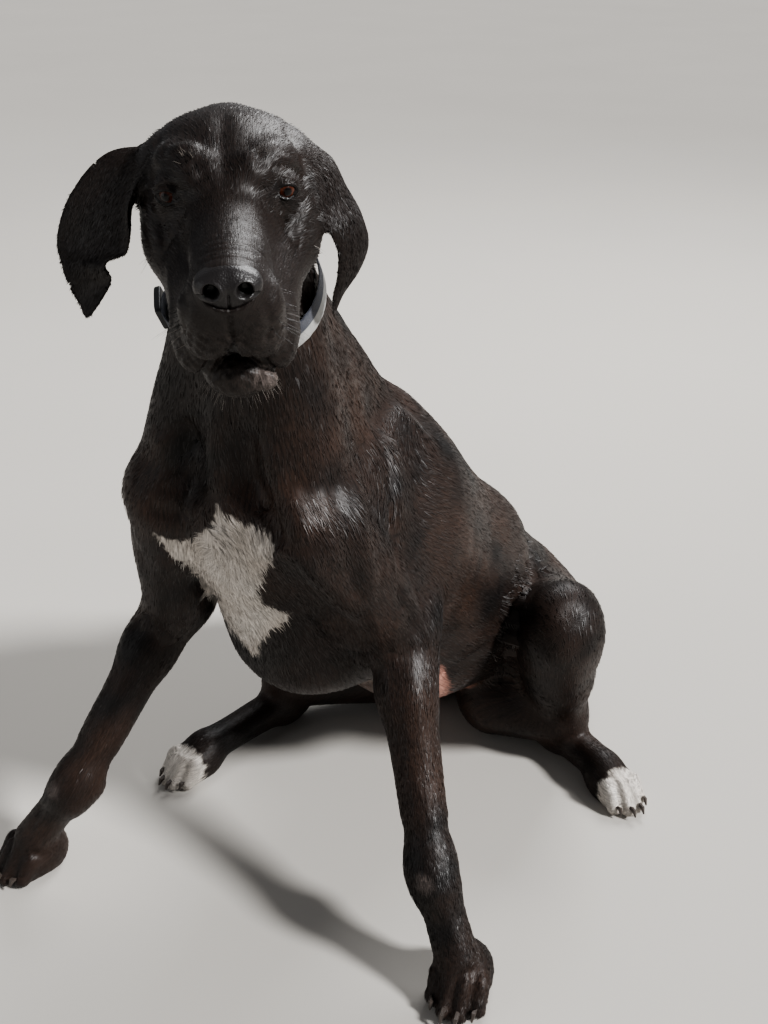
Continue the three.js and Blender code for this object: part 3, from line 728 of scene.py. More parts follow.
def point_normals(points, tris):
    """Each vertex's normal: the mean of its triangles' normals by area."""
    a, b, c = (points[tris[:, k]] for k in range(3))
    face = np.cross(b - a, c - a)
    total = np.zeros_like(points)
    for axis in range(3):
        for k in range(3):
            total[:, axis] += np.bincount(tris[:, k], face[:, axis], len(points))
    return unit(total)


def neighbour_mean(values, tris):
    """Mean of each vertex's neighbours over the triangle edges."""
    total = np.zeros_like(values)
    count = np.zeros(len(values))
    for k in range(3):
        a, b = tris[:, k], tris[:, (k + 1) % 3]
        for i, j in ((a, b), (b, a)):
            count += np.bincount(i, minlength=len(values))
            for axis in range(values.shape[1]):
                total[:, axis] += np.bincount(i, values[j, axis], len(values))
    return total / np.maximum(count, 1)[:, None]


def settled(points, tris, rounds, relax=0.4):
    """Moves points along their normals onto the skin, and evens their spacing along the surface,
    less on the thin ears, whose rims that would draw in."""
    ears = np.minimum(*(ear_distance(samples, points) for samples in EAR_SAMPLES)) < 4
    for _ in range(rounds):
        normals = point_normals(points, tris)
        points = points - normals * np.clip(skin_distance(points), -6, 6)[:, None]
        pull = neighbour_mean(points, tris) - points
        pull -= normals * (pull * normals).sum(1)[:, None]
        points = points + relax * pull * np.where(ears, 0.4, 1.0)[:, None]
    return points


def with_modifier(mesh, kind, **settings):
    """A new mesh with one modifier applied to this one."""
    piece = new_piece("work", mesh)
    modifier = piece.modifiers.new(kind, kind)
    for key, value in settings.items():
        setattr(modifier, key, value)
    depsgraph = bpy.context.evaluated_depsgraph_get()
    result = bpy.data.meshes.new_from_object(piece.evaluated_get(depsgraph))
    bpy.data.objects.remove(piece)
    bpy.data.meshes.remove(mesh)
    return result


def refined(mesh, chosen, longest):
    """Splits every edge longer than a length whose two ends are chosen, and fills the split faces
    with triangles."""
    work = bmesh.new()
    work.from_mesh(mesh)
    pairs = np.empty(2 * len(mesh.edges), np.int32)
    mesh.edges.foreach_get("vertices", pairs)
    pairs = pairs.reshape(-1, 2)
    spots = coordinates(mesh)
    length = norms(spots[pairs[:, 0]] - spots[pairs[:, 1]])
    split = chosen[pairs].all(1) & (length > longest)
    work.edges.ensure_lookup_table()
    edges = [work.edges[i] for i in np.flatnonzero(split)]
    bmesh.ops.subdivide_edges(work, edges=edges, cuts=1, use_grid_fill=True)
    bmesh.ops.triangulate(work, faces=work.faces)
    work.to_mesh(mesh)
    work.free()
    mesh.update()
    return mesh


def base_mesh():
    """All bars and both ears as closed tubes in one mesh, in metres."""
    grids = [bar_grid(b, 2.0) for group in GROUPS for b in group[1]]
    grids += [ear_grid(EAR_LEFT, 9.0), ear_grid(EAR_RIGHT, 9.0)]
    points, faces = gathered(map(tube_mesh, grids))
    return new_mesh("base", to_frame(points), faces)


# Sculpted moves of the skin: ridges and creases along drawn lines
def skin_gradient(points):
    """Way in which the distance to the skin grows fastest, from steps of 1 mm."""
    grad = np.empty_like(points)
    for axis, shift in enumerate(np.eye(3)):
        grad[:, axis] = skin_distance(points + shift) - skin_distance(points - shift)
    return unit(grad)


def onto_skin(points, rounds=4):
    """Points moved down the skin's gradient until they lie on it."""
    for _ in range(rounds):
        points = points - skin_gradient(points) * skin_distance(points)[:, None]
    return points


def line_distance(points, line):
    """Distance to the nearest part of a line, and how far along the line that part is."""
    best = np.full(len(points), FAR)
    place = np.zeros(len(points))
    for i in range(len(line) - 1):
        way = line[i + 1] - line[i]
        t = np.clip((points - line[i]) @ way / max(way @ way, 1e-9), 0, 1)
        d = norms(points - line[i] - t[:, None] * way)
        closer = d < best
        best[closer] = d[closer]
        place[closer] = (i + t[closer]) / (len(line) - 1)
    return best, place


def drawn(points, line, width, amount, taper=0.25):
    """Height of a ridge, or of a crease if negative: a bell across the line, fading at its ends."""
    line = np.asarray(line, float)
    steps = max(int(norms(np.diff(line, axis=0)).sum() / 5), 3)
    share = np.linspace(0, 1, steps)
    if len(line) > 2:
        line = along_path(line, share)
    else:
        line = mix(line[0], line[1], share[:, None])
    line = onto_skin(line)
    height = np.zeros(len(points))
    rows = rows_near(points, line, 3 * width)
    if len(rows):
        d, t = line_distance(points[rows], line)
        fade = smooth(t, 0, taper) * smooth(1 - t, 0, taper)
        height[rows] = amount * bell(d, width) * fade
    return height


def relief(points, lines, taper=0.25):
    """Height of drawn ridges and creases, each given by its points, width and height."""
    height = np.zeros(len(points))
    for line, width, amount in lines:
        height += drawn(points, line, width, amount, taper)
    return height


def head_lines():
    """Lines of the face in the head's axes: points, width, height, and if both sides have it."""
    return [
        ([(0, -70, 40), (0, -30, 44), (0, 10, 32), (0, 44, 12)], 8, -2.4, False),
        ([(24, 22, 25), (34, 10, 32)], 8, -1.6, True),
        ([(20, -4, 38), (34, -6, 36), (46, -10, 28)], 7, 2.0, True),
        ([(30, 24, 4), (40, 24, -14), (46, 22, -34), (52, 12, -50)], 3, -2.2, True),
        ([(27, 34, -2), (36, 34, -18), (42, 34, -36), (44, 40, -50)], 4, 1.0, True),
        ([(66, -14, -16), (60, 2, -36), (54, 18, -54)], 6, 2.2, True),
        ([(54, 0, -20), (50, 14, -38), (48, 28, -56)], 5, -2.4, True),
        ([(-26, 112, -10), (-12, 120, 2), (0, 122, 6), (12, 120, 2), (26, 112, -10)], 2.0, -0.9, False),
        ([(-27, 122, -14), (-14, 131, 0), (0, 134, 4), (14, 131, 0), (27, 122, -14)], 1.8, -0.9, False),
        ([(-28, 98, -12), (0, 106, 8), (28, 98, -12)], 3.0, -0.6, False),
        ([(26, 50, -6), (27, 84, -10), (26, 118, -12)], 5, 0.9, True),
        ([(34, 56, -28), (33, 88, -34), (34, 120, -36)], 8, -1.4, True),
        ([(0, 166, -32), (0, 156, -46), (0, 148, -62)], 2.6, -3.4, False),
        ([(44, 70, -60), (47, 84, -78), (44, 96, -96)], 7, 1.4, True),
        ([(38, 48, -66), (41, 60, -84), (40, 70, -100)], 4, -1.8, True),
        ([(40, -6, -72), (44, 24, -84), (42, 50, -96)], 5, -1.6, True),
        ([(54, -36, 22), (58, -60, 30), (52, -84, 22)], 5, -2.0, True),
        ([(20, -100, 30), (44, -100, 20)], 9, -1.2, True),
    ]


LIP_EDGE = [(0, 150, -66), (9, 142, -78), (18, 130, -94), (30, 114, -106), (38, 84, -110), (44, 50, -102),
            (44, 24, -92)]


def face_height(points):
    """Furrows, brows, folds, wrinkles and the edge of the lips, as height over the plain skin."""
    height = np.zeros(len(points))
    for line, width, amount, both in head_lines():
        for side in ((1, -1) if both else (1,)):
            spots = [in_head(x * side, f, z) for x, f, z in line]
            height += drawn(points, spots, width, amount)
    for side in (1, -1):
        edge = [in_head(x * side, f, z) for x, f, z in LIP_EDGE]
        height += drawn(points, edge, 3.2, -5.0, taper=0.08)
        height += drawn(points, [e + head_way(0, 0, 1) * 5 for e in edge[2:]], 3.0, 1.2, taper=0.2)
    height += waves(points, 5, 41) * 0.8 * smooth(-norms(points - LOBE), -16, -10)
    local = head_axes(points)
    pads = smooth(local[:, 1], 96, 120) * smooth(-local[:, 2], 42, 58)
    height += waves(points, 7, 43) * 0.75 * pads
    return height


# Eyes
def eye_frame(side):
    """Centre, gaze, way to the outer corner and way up of an eye."""
    centre = in_head(side * EYE_ASIDE, 2, 0)
    gaze = head_way(side * 0.34, 0.93, 0.06)
    outer = unit(np.cross(gaze, head_way(0, 0, 1))) * side
    outer = outer if outer @ head_way(side, 0, 0) > 0 else -outer
    upward = unit(np.cross(outer, gaze)) * side
    upward = upward if upward @ head_way(0, 0, 1) > 0 else -upward
    return centre, gaze, outer, upward


EYE_RADIUS = 12.5
EYE_HALF = 11.5
LID_UP = 5.6
LID_DOWN = 6.6
LID_THICK = 1.9


def eye_opening(points, side):
    """Distance inside the almond between the lids, negative outside, measured over the ball."""
    centre, gaze, outer, upward = eye_frame(side)
    off = points - centre
    aside, above, ahead = off @ outer, off @ upward, off @ gaze
    across = np.maximum(np.hypot(aside, above), 1e-6)
    arc = np.arctan2(across, ahead) * (EYE_RADIUS + LID_THICK) / across
    a = aside * arc
    b = above * arc + 0.10 * a
    span = np.minimum(np.abs(a) / EYE_HALF, 1.6)
    upper = LID_UP * (1 - span ** 2.3)
    lower = -LID_DOWN * (1 - span ** 2.0)
    inside = np.minimum(upper - b, b - lower)
    return inside, off @ gaze, a, b


def lid_move(points, normals):
    """Lids: the skin wraps the eyeball at the lids' thickness outside the almond and drops behind
    it within, with a raised rim, a crease above the upper lid and a bag under the lower one.
    Returns the move and the rim."""
    move = np.zeros_like(points)
    rim = np.zeros(len(points))
    for side in (1, -1):
        centre, gaze, outer, upward = eye_frame(side)
        rows = np.flatnonzero(norms(points - centre) < 34)
        p = points[rows]
        inside, depth, a, b = eye_opening(p, side)
        off = p - centre
        far = norms(off)
        lid = EYE_RADIUS + LID_THICK
        front = np.where(far < lid, smooth(depth, -10, -6), smooth(depth, -1, 4))
        hole = smooth(inside, -0.2, 0.9) * front
        away = smooth(np.maximum(-inside, 1.2 * (far - lid)), 2, 11)
        wrap = np.where(far > lid, mix(lid, far, away), lid)
        wrap = mix(wrap, EYE_RADIUS - 2.2, hole)
        wrap = mix(far, wrap, front)
        edge = bell(inside + 1.1, 1.2) * front
        above = bell(inside + 5.2, 1.5) * smooth(b, 0, 4) * front * smooth(-inside, 0, 3)
        below = bell(inside + 5.0, 1.6) * smooth(-b, 0, 4) * front * smooth(-inside, 0, 3)
        bag = bell(inside + 9.0, 2.6) * smooth(-b, 2, 8) * front
        move[rows] += off / np.maximum(far, 1e-6)[:, None] * (wrap - far)[:, None]
        lift = (edge * 0.5 - above * 1.2 - below * 0.8 + bag * 0.8) * (1 - hole)
        move[rows] += normals[rows] * lift[:, None]
        rim[rows] = np.maximum(rim[rows], smooth(inside, -2.4, -0.6) * front)
    return move, rim


# Which part of the body each point belongs to, and which way its hair lies
CHARTS = ["trunk", "neck", "head", "ear_left", "ear_right", "foreleg_left", "foreleg_right",
          "thigh_left", "thigh_right", "hind_foot_left", "hind_foot_right", "tail"]


def in_part(chart, *names):
    """Whether each chart's name starts with one of the given names."""
    return np.isin(chart, [i for i, label in enumerate(CHARTS) if label.startswith(names)])


def lie_weights(points):
    """Sum of the bars' directions, each counting for less the further its surface is, and the
    number of the chart whose part is nearest."""
    lie = np.zeros_like(points)
    nearest = np.full(len(points), FAR)
    chart = np.zeros(len(points), int)
    back = head_way(0, -1, -0.25)
    for _, bars, _, _, place in GROUPS:
        for b in bars:
            rows = near_bar(b, points)
            if not len(rows):
                continue
            d = bar_distance(b, points[rows])
            axis = b.end - b.start
            way = unit(axis) if np.linalg.norm(axis) > 1 else np.zeros(3)
            if place == "head":
                way = back
            weight = np.exp(-np.clip(d, -20, 80) / 9)
            lie[rows] += weight[:, None] * way
            closer = d < nearest[rows]
            nearest[rows[closer]] = d[closer]
            chart[rows[closer]] = CHARTS.index(place)
    for label, samples, stations in (("ear_left", EAR_SAMPLES[0], EAR_LEFT),
                                     ("ear_right", EAR_SAMPLES[1], EAR_RIGHT)):
        d = ear_distance(samples, points)
        rows = np.flatnonzero(d < 6)
        down = unit(in_head(*stations[-1][0]) - in_head(*stations[1][0]))
        lie[rows] += np.exp(-np.clip(d[rows], -6, 6) / 3)[:, None] * down * 3
        closer = rows[d[rows] < nearest[rows] - 0.5]
        chart[closer] = CHARTS.index(label)
    return lie, chart


WHORL = vec(14, -590, 500)


def hair_lie(points, normals):
    """Lie of the coat: the bars' ways, spread outwards on the forehead, down the lips, and
    turning about the whorl over the breastbone."""
    lie, chart = lie_weights(points)
    lie = unit(lie)
    local = head_axes(points)
    on_head = in_part(chart, "head")
    lips = smooth(-local[:, 2], 40, 90) * smooth(local[:, 1], 20, 70) * on_head
    lie = lie + lips[:, None] * head_way(0, -0.2, -1) * 1.2
    brow = smooth(local[:, 2], 5, 30) * smooth(-local[:, 1], -30, 20) * on_head
    aside = np.clip(local[:, 0] / 60, -1, 1)
    lie = lie + (brow * aside)[:, None] * head_way(1, 0, 0) * 0.6
    off = points - WHORL
    reach = bell(norms(off), 42)
    spin = np.cross(unit(off), normals)
    lie = lie + reach[:, None] * (spin * 1.2 + unit(off) * 0.6)
    lie -= normals * (lie * normals).sum(1)[:, None]
    return unit(lie), chart


# Markings, as functions of the place on the body
# Outline of the white chest patch in the picture, in pixels of 768 by 1024
CHEST_PATCH = [
    (215, 502), (222, 510), (237, 520), (260, 526), (272, 535), (276, 549), (265, 555), (271, 562),
    (264, 570), (260, 582), (256, 592), (262, 602), (277, 610), (290, 615), (287, 622), (272, 627),
    (262, 640), (257, 655), (250, 652), (240, 640), (227, 622), (215, 605), (205, 592), (200, 575),
    (187, 565), (175, 560), (162, 542), (150, 532), (160, 536), (172, 540), (185, 540), (197, 536),
    (210, 525), (216, 514),
]
CAMERA_PLACE = vec(0.7997, -1.1005, 1.112)
CAMERA_TURN = (math.radians(62.65), 0.0, math.radians(36.66))
LENS = 42.19
SENSOR = 36.0
PICTURE = (768, 1024)
WIDE, TALL = PICTURE
NEAREST = 650.0
VIEW = np.array(Euler(CAMERA_TURN).to_matrix())


def photo_place(points):
    """Place of each point in the picture, in pixels from its top left corner."""
    local = (to_frame(points) - CAMERA_PLACE) @ VIEW
    scale = LENS / SENSOR * TALL / -local[:, 2]
    return WIDE / 2 + local[:, 0] * scale, TALL / 2 - local[:, 1] * scale


def photo_spot(pixels):
    """Point of the skin that each pixel of the picture shows, found by stepping along its ray."""
    right, down = np.array(pixels, float).T
    scale = LENS / SENSOR * TALL
    local = np.stack([(right - WIDE / 2) / scale, (TALL / 2 - down) / scale, -np.ones(len(right))], 1)
    ways = unit(local @ VIEW.T)
    points = to_dog(CAMERA_PLACE) + ways * NEAREST
    for _ in range(40):
        points = points + ways * np.minimum(0.92 * skin_distance(points), 0.8 * REACH)[:, None]
    return points[skin_distance(points) < 3]


# Relief seen in the picture: pixels along each line, its width and its height in millimetres
PHOTO_LINES = [
    # brows, hollows over the eyes and folds of the lids
    ([(168, 160), (176, 151), (188, 147), (203, 150)], 5, 2.2),
    ([(190, 160), (199, 170), (203, 184)], 7, -3.2),
    ([(155, 189), (164, 182), (176, 182), (186, 190)], 2.6, 1.3),
    ([(158, 204), (170, 207), (182, 203)], 3, 1.0),
    ([(255, 150), (262, 158), (268, 168)], 5, -2.4),
    ([(272, 158), (284, 159), (296, 166), (302, 177)], 4, 1.8),
    ([(270, 171), (283, 168), (297, 173)], 2.2, -1.2),
    # folds under the photo's right eye and the ridge of the cheek
    ([(262, 197), (268, 215), (276, 232), (288, 250)], 3, -1.8),
    ([(268, 198), (275, 215), (283, 232), (292, 244)], 3.5, 1.5),
    ([(279, 205), (286, 220), (292, 238)], 3.5, -2.6),
    ([(304, 196), (303, 212), (298, 228), (294, 242)], 4.5, 2.6),
    # edges of the bridge of the nose and of the side of the muzzle
    ([(262, 235), (272, 262), (276, 290), (280, 322)], 6, 1.0),
    ([(196, 200), (192, 235), (191, 258)], 6, 1.4),
    ([(183, 215), (182, 250), (184, 300), (186, 345)], 6, -1.8),
    ([(170, 215), (169, 260), (172, 310), (176, 350)], 5, 1.2),
    ([(262, 300), (270, 322), (268, 346)], 4, -1.4),
    # wrinkles across the bridge
    ([(218, 222), (236, 216), (254, 223)], 2.0, -0.9),
    ([(212, 238), (234, 230), (260, 240)], 2.0, -1.0),
    ([(205, 251), (230, 243), (257, 250), (267, 263)], 1.9, -1.0),
    ([(204, 260), (228, 252), (254, 258)], 1.8, -0.9),
    # throat: a ridge between two valleys, over the breastbone
    ([(182, 415), (189, 450), (193, 480), (191, 508)], 12, -10),
    ([(217, 432), (215, 465), (213, 490)], 9, 8),
    ([(236, 425), (244, 460), (256, 495), (272, 525), (284, 552)], 18, -12),
    ([(266, 440), (277, 480), (292, 512), (300, 545)], 14, 8),
    # lower edge of the left shoulder and upper arm, over the chest
    ([(284, 552), (292, 578), (314, 606), (344, 630), (364, 645)], 16, -10),
    ([(303, 548), (316, 574), (340, 596), (364, 616)], 14, 7),
    ([(142, 506), (168, 514), (192, 510)], 10, -6),
    ([(160, 430), (166, 460), (168, 488)], 18, 4),
    # blade, upper arm, fold of skin behind the elbow
    ([(378, 432), (385, 450), (389, 470), (391, 500), (394, 540), (397, 570)], 5, -5),
    ([(386, 432), (393, 452), (398, 484), (402, 530)], 6, 2.6),
    ([(352, 455), (360, 510), (367, 560), (371, 608)], 9, 4.5),
    ([(334, 470), (342, 520), (350, 566), (354, 604)], 10, -3.5),
    ([(399, 572), (405, 595), (417, 612), (424, 630), (427, 648)], 4.5, 4),
    ([(395, 585), (401, 603), (409, 618), (415, 636)], 4, -3.5),
    # muscles of the forearm
    ([(372, 612), (378, 640), (383, 672)], 6, 1.8),
    ([(398, 618), (392, 642), (395, 668)], 5, 2.2),
    ([(396, 616), (404, 611), (413, 620)], 3, 1.6),
    ([(387, 650), (403, 656), (415, 642)], 5, -1.8),
    # flank fold
    ([(425, 668), (444, 656), (470, 640), (500, 620), (516, 609)], 6, 3.5),
    ([(440, 676), (460, 664), (486, 647), (513, 629)], 7, -3.5),
]


def photo_height(points):
    """Height of the relief that the picture shows."""
    lines = [(photo_spot(line), width, amount) for line, width, amount in PHOTO_LINES]
    return relief(points, lines, 0.15)


def inside_outline(x, z, outline):
    """Distance inside a closed outline, negative outside: to the nearest edge, with the sign of
    the number of edges that a level line from the point crosses."""
    best = np.full(len(x), FAR)
    inside = np.zeros(len(x), bool)
    for (x0, z0), (x1, z1) in zip(outline, outline[1:] + outline[:1]):
        way = vec(x1 - x0, z1 - z0)
        t = np.clip(((x - x0) * way[0] + (z - z0) * way[1]) / (way @ way), 0, 1)
        best = np.minimum(best, np.hypot(x - x0 - t * way[0], z - z0 - t * way[1]))
        crosses = ((z0 > z) != (z1 > z)) & (x < (x1 - x0) * (z - z0) / (z1 - z0 + 1e-9) + x0)
        inside ^= crosses
    return np.where(inside, best, -best)


def waves(points, length, seed):
    """Smooth noise from -1 to 1: a few sine waves of about one length in fixed random directions."""
    rng = np.random.default_rng(seed)
    total = np.zeros(len(points))
    for k in range(7):
        way = unit(rng.normal(size=3))
        total += np.sin(points @ way * 2 * math.pi / (length * (0.6 + 0.13 * k)) + rng.uniform(0, 6.3))
    return total / 3.2


def white_mask(points, normals, chart):
    """White chest patch and white hind toes."""
    right, down = photo_place(points)
    ragged = waves(points, 16, 3) * 1.6 + waves(points, 7, 4) * 1.2
    facing = smooth((normals * unit(to_dog(CAMERA_PLACE) - points)).sum(1), -0.05, 0.15)
    chest = facing * (points[:, 1] < -380) * (points[:, 2] > 250)
    white = smooth(inside_outline(right, down, CHEST_PATCH) + ragged, -1.0, 1.6) * chest
    for leg, label in LEGS:
        on_foot = in_part(chart, "hind_foot_" + label)
        reach = (points - leg["foot"]) @ leg["foot_aim"]
        white = np.maximum(white, smooth(reach + ragged * 2.0, -12, -6) * on_foot)
    return white


def markings(points, normals):
    """White chest patch and hind toes, bare belly and groin, brown tint, grey chin, calluses."""
    x, y, z = points.T
    local = head_axes(points)
    chart = lie_weights(points)[1]
    head = in_part(chart, "head", "ear")
    white = white_mask(points, normals, chart)
    trunk = in_part(chart, "trunk")
    thighs = in_part(chart, "thigh")
    low = smooth(-normals[:, 2], 0.15, 0.7)
    belly = 0.6 * low * smooth(y, -440, -380) * smooth(-y, -40, 40) * smooth(-z, -300, -250) * trunk
    belly *= smooth(-np.abs(x), -90, -60)
    groin = low * smooth(y, -200, -130) * smooth(-z, -230, -190) * trunk * smooth(-np.abs(x), -70, -50)
    right, down = photo_place(points)
    spot = smooth(-np.hypot((right - 438) / 11, (down - 694) / 32), -1.1, -0.7) * (trunk | thighs)
    groin = np.maximum(groin, spot)
    brown = np.clip(0.55 + 0.35 * waves(points, 190, 5) + 0.25 * waves(points, 60, 6), 0, 1) * ~head
    brown = brown + head * 0.25
    chin = smooth(-local[:, 2], 92, 118) * smooth(local[:, 1], 60, 100) * head
    pads = smooth(local[:, 1], 104, 138) * smooth(-local[:, 2], 24, 50) * head
    grey = np.clip(chin * 0.3 + pads * 0.45, 0, 1) * (0.6 + 0.4 * waves(points, 9, 8))
    callus = np.zeros(len(points))
    for leg in (LEFT, RIGHT):
        spot = leg["carpus"] + leg["paw_aim"] * 28 + vec(0, 0, 6)
        callus = np.maximum(callus, smooth(-norms(points - spot), -13, -7))
    callus = np.maximum(callus, smooth(-norms(points - LOBE), -14.5, -12.5))
    return dict(white=white, belly=belly, groin=groin, brown=brown, grey=np.clip(grey, 0, 1), callus=callus)


def body_lines():
    """Ridges and creases of the body: points, width and height."""
    lines = [
        ([(16, -575, 665), (10, -580, 620), (6, -580, 560)], 15, 5.0),
        ([(54, -575, 660), (44, -575, 610), (34, -580, 556)], 15, -5.5),
        ([(-30, -575, 650), (-30, -575, 600), (-16, -580, 548)], 15, -5.5),
        ([(6, -590, 545), (6, -585, 525)], 10, -2.5),
        ([(60, -360, 640), (84, -386, 590), (118, -413, 521), (150, -441, 440)], 10, -3.2),
        ([(96, -420, 560), (132, -440, 500), (140, -460, 440)], 16, 2.6),
        ([(-84, -400, 560), (-120, -430, 510), (-150, -450, 440)], 10, -3.0),
        ([(128, -400, 470), (150, -402, 430), (158, -400, 400), (160, -396, 372)], 7, -3.2),
        ([(-134, -420, 450), (-156, -440, 410), (-164, -450, 372)], 7, -3.0),
        ([(150, -380, 320), (140, -300, 292), (132, -230, 272), (131, -156, 262)], 9, -4.5),
        ([(-140, -330, 300), (-138, -240, 280), (-128, -170, 270)], 9, -4.0),
        ([(146, -457, 380), (167, -474, 317), (186, -490, 254), (200, -500, 210)], 7, -1.6),
        ([(160, -440, 357), (186, -455, 316), (208, -476, 256)], 6, 1.4),
        ([(-166, -520, 330), (-180, -560, 270), (-188, -600, 210)], 7, -1.4),
        ([(262, -532, 128), (274, -532, 98), (292, -538, 66)], 4, -1.4),
        ([(236, -536, 128), (256, -546, 98), (274, -556, 70)], 4, 1.0),
        ([(-212, -664, 120), (-222, -684, 96), (-236, -706, 66)], 4, -1.4),
        ([(213, -165, 317), (239, -175, 271), (246, -168, 220)], 12, -2.0),
        ([(230, -130, 300), (250, -120, 240), (232, -96, 170)], 11, 2.4),
        ([(110, -552, 556), (116, -520, 460), (104, -480, 380)], 16, -3.0),
        ([(-112, -560, 530), (-118, -530, 470), (-110, -500, 400)], 14, -3.0),
    ]
    for leg, foot, size in ((LEFT, "paw", 1.0), (RIGHT, "paw", 1.0),
                            (LEFT, "foot", HIND_SIZE), (RIGHT, "foot", HIND_SIZE)):
        aim = leg[foot + "_aim"]
        toes = [toe_line(leg[foot], aim, i, size) for i in range(TOES)]
        for one, other in zip(toes, toes[1:]):
            crease = [mix(a, b, 0.5) + vec(0, 0, 10) for a, b in zip(one, other)]
            crease.append(crease[-1] + aim * 12 - vec(0, 0, 14))
            lines.append((crease, 4.5, -4.5 * size))
        for root, knuckle, tip in toes:
            top = knuckle + vec(0, 0, 12)
            lines.append(([top - aim * 3, top + aim * 3], 7, 1.6 * size))
    for k, (y, z) in enumerate(((-330, 0), (-292, -14), (-256, -30), (-222, -48), (-190, -66))):
        for s in (1, -1):
            top = vec(s * 110, y + 22, 470 + z)
            foot = vec(s * 124, y - 30, 330 + z)
            lines.append(([top, mix(top, foot, 0.5) + vec(s * 12, 0, 0), foot], 9, 1.3 if k else 0.9))
    return lines


def body_height(points):
    """Height of the body's ridges and creases, over slow waves of the whole skin."""
    return relief(points, body_lines()) + waves(points, 120, 21) * 0.8


# Unwrap: every part of the body is rolled out along its own path, on a sheet this wide in metres
SHEET = 1.75


def leg_path(leg):
    return [leg["shoulder"], leg["elbow"], leg["carpus"], leg["paw"] - leg["paw_aim"] * 30,
            leg["paw"] * vec(1, 1, 0) + vec(0, 0, 24) + leg["paw_aim"] * 20]


def chart_paths():
    """Path and mean radius of each part, for the unwrap."""
    paths = {
        "trunk": ([vec(0, -470, 500), vec(0, -330, 405), vec(6, -180, 285), vec(16, -40, 180),
                   vec(22, 52, 112)], 140),
        "neck": ([in_head(0, -96, -28), NECK_ROOT], 75),
        "head": ([in_head(0, -90, -20), in_head(0, -20, -24), in_head(0, 110, -50)], 66),
        "tail": (TAIL, 20),
    }
    for leg, label in LEGS:
        paths["foreleg_" + label] = (leg_path(leg), 40)
        paths["thigh_" + label] = ([leg["hip"], leg["knee"], leg["hock"]], 62)
        paths["hind_foot_" + label] = ([leg["hock"], leg["foot"] - leg["foot_aim"] * 30,
                                        leg["foot"] + leg["foot_aim"] * 20], 30)
    return paths


def rolled(points, path, radius):
    """Length along the path and angle about it. Past an end, the length goes on towards the pole."""
    path = np.asarray(path)
    best = np.full(len(points), FAR)
    along = np.zeros(len(points))
    angle = np.zeros(len(points))
    done = 0.0
    for i in range(len(path) - 1):
        way = path[i + 1] - path[i]
        size = np.linalg.norm(way)
        way = way / size
        side = unit(np.cross(way, vec(0.31, 0.11, 0.94)))
        top = np.cross(side, way)
        raw = (points - path[i]) @ way
        t = np.clip(raw, 0, size)
        off = points - path[i] - t[:, None] * way
        d = norms(off)
        a, b = off @ side, off @ top
        past = np.where(i == 0, np.minimum(raw, 0), 0) + np.where(i == len(path) - 2,
                                                                  np.maximum(raw - size, 0), 0)
        pole = np.sign(past) * np.maximum(radius - np.hypot(a, b), 0) * smooth(np.abs(past), 0, 15)
        closer = d < best
        best[closer] = d[closer]
        along[closer] = (done + t + past + pole)[closer]
        angle[closer] = np.arctan2(b, a)[closer]
        done += size
    return along, angle


def rolled_ear(points, samples, rows=EAR_ROWS, columns=EAR_COLUMNS):
    """Length along the ear, and an angle that runs over its outer side and back over its inner."""
    spots, normals = samples[:2]
    index = nearest_spot(points, spots)[0]
    off = points - spots[index]
    wide = np.gradient(spots.reshape(rows, columns, 3), axis=1).reshape(-1, 3)[index]
    long = np.gradient(spots.reshape(rows, columns, 3), axis=0).reshape(-1, 3)[index]
    column = index % columns + (off * wide).sum(1) / np.maximum((wide * wide).sum(1), 1e-6)
    row = index // columns + (off * long).sum(1) / np.maximum((long * long).sum(1), 1e-6)
    across = np.clip(column / (columns - 1), 0, 1)
    outer = (off * normals[index]).sum(1) > 0
    angle = np.where(outer, across, 2 - across) * math.pi - math.pi
    return np.clip(row, -3, rows + 2) * 4.0, angle


def unwrap(points, tris, chart):
    """UV of every corner: each part rolled out in millimetres, and the sheets set on shelves."""
    corners = points[tris]
    flat = np.zeros((len(tris), 3, 2))
    sizes = []
    paths = chart_paths()
    for number, label in enumerate(CHARTS):
        rows = np.flatnonzero(chart == number)
        spots = corners[rows].reshape(-1, 3)
        if label.startswith("ear"):
            radius = 24.0
            along, angle = rolled_ear(spots, EAR_SAMPLES[0 if label == "ear_left" else 1])
        else:
            path, radius = paths[label]
            along, angle = rolled(spots, path, radius)
        angle = angle.reshape(-1, 3)
        wraps = (angle.max(1) - angle.min(1)) > math.pi
        angle = np.where(wraps[:, None] & (angle < 0), angle + 2 * math.pi, angle)
        flat[rows, :, 0] = along.reshape(-1, 3)
        flat[rows, :, 1] = angle * radius
        flat[rows] -= flat[rows].min((0, 1))
        sizes.append((number, flat[rows].max((0, 1)) + 8))
    sheet = 1000 * SHEET
    x = y = shelf = 0.0
    for number, size in sorted(sizes, key=lambda s: -s[1][1]):
        if x + size[0] > sheet:
            x = 0.0
            y += shelf
            shelf = 0.0
        rows = chart == number
        flat[rows] += (x + 4, y + 4)
        x += size[0]
        shelf = max(shelf, size[1])
    return flat / sheet


# Materials
BLACK = (0.0, 0.0, 0.0)


def feed(tree, node, inputs):
    """Sets a node's inputs. Each is a value, or another node's output to link."""
    for key, value in inputs.items():
        socket = node.inputs[key]
        if isinstance(value, bpy.types.NodeSocket):
            tree.links.new(value, socket)
        else:
            socket.default_value = (*value, 1) if socket.type == "RGBA" else value


def add(tree, kind, inputs=None, **settings):
    """Adds a node with its settings and inputs."""
    made = tree.nodes.new("ShaderNode" + kind)
    for key, value in settings.items():
        setattr(made, key, value)
    feed(tree, made, inputs or {})
    return made


def new_material(name):
    material = bpy.data.materials.new(name)
    material.use_nodes = True
    tree = material.node_tree
    shader = tree.nodes["Principled BSDF"]
    return material, tree, shader


def attribute(tree, name):
    return add(tree, "Attribute", attribute_name=name).outputs["Fac"]


def object_place(tree):
    return add(tree, "TexCoord").outputs["Object"]


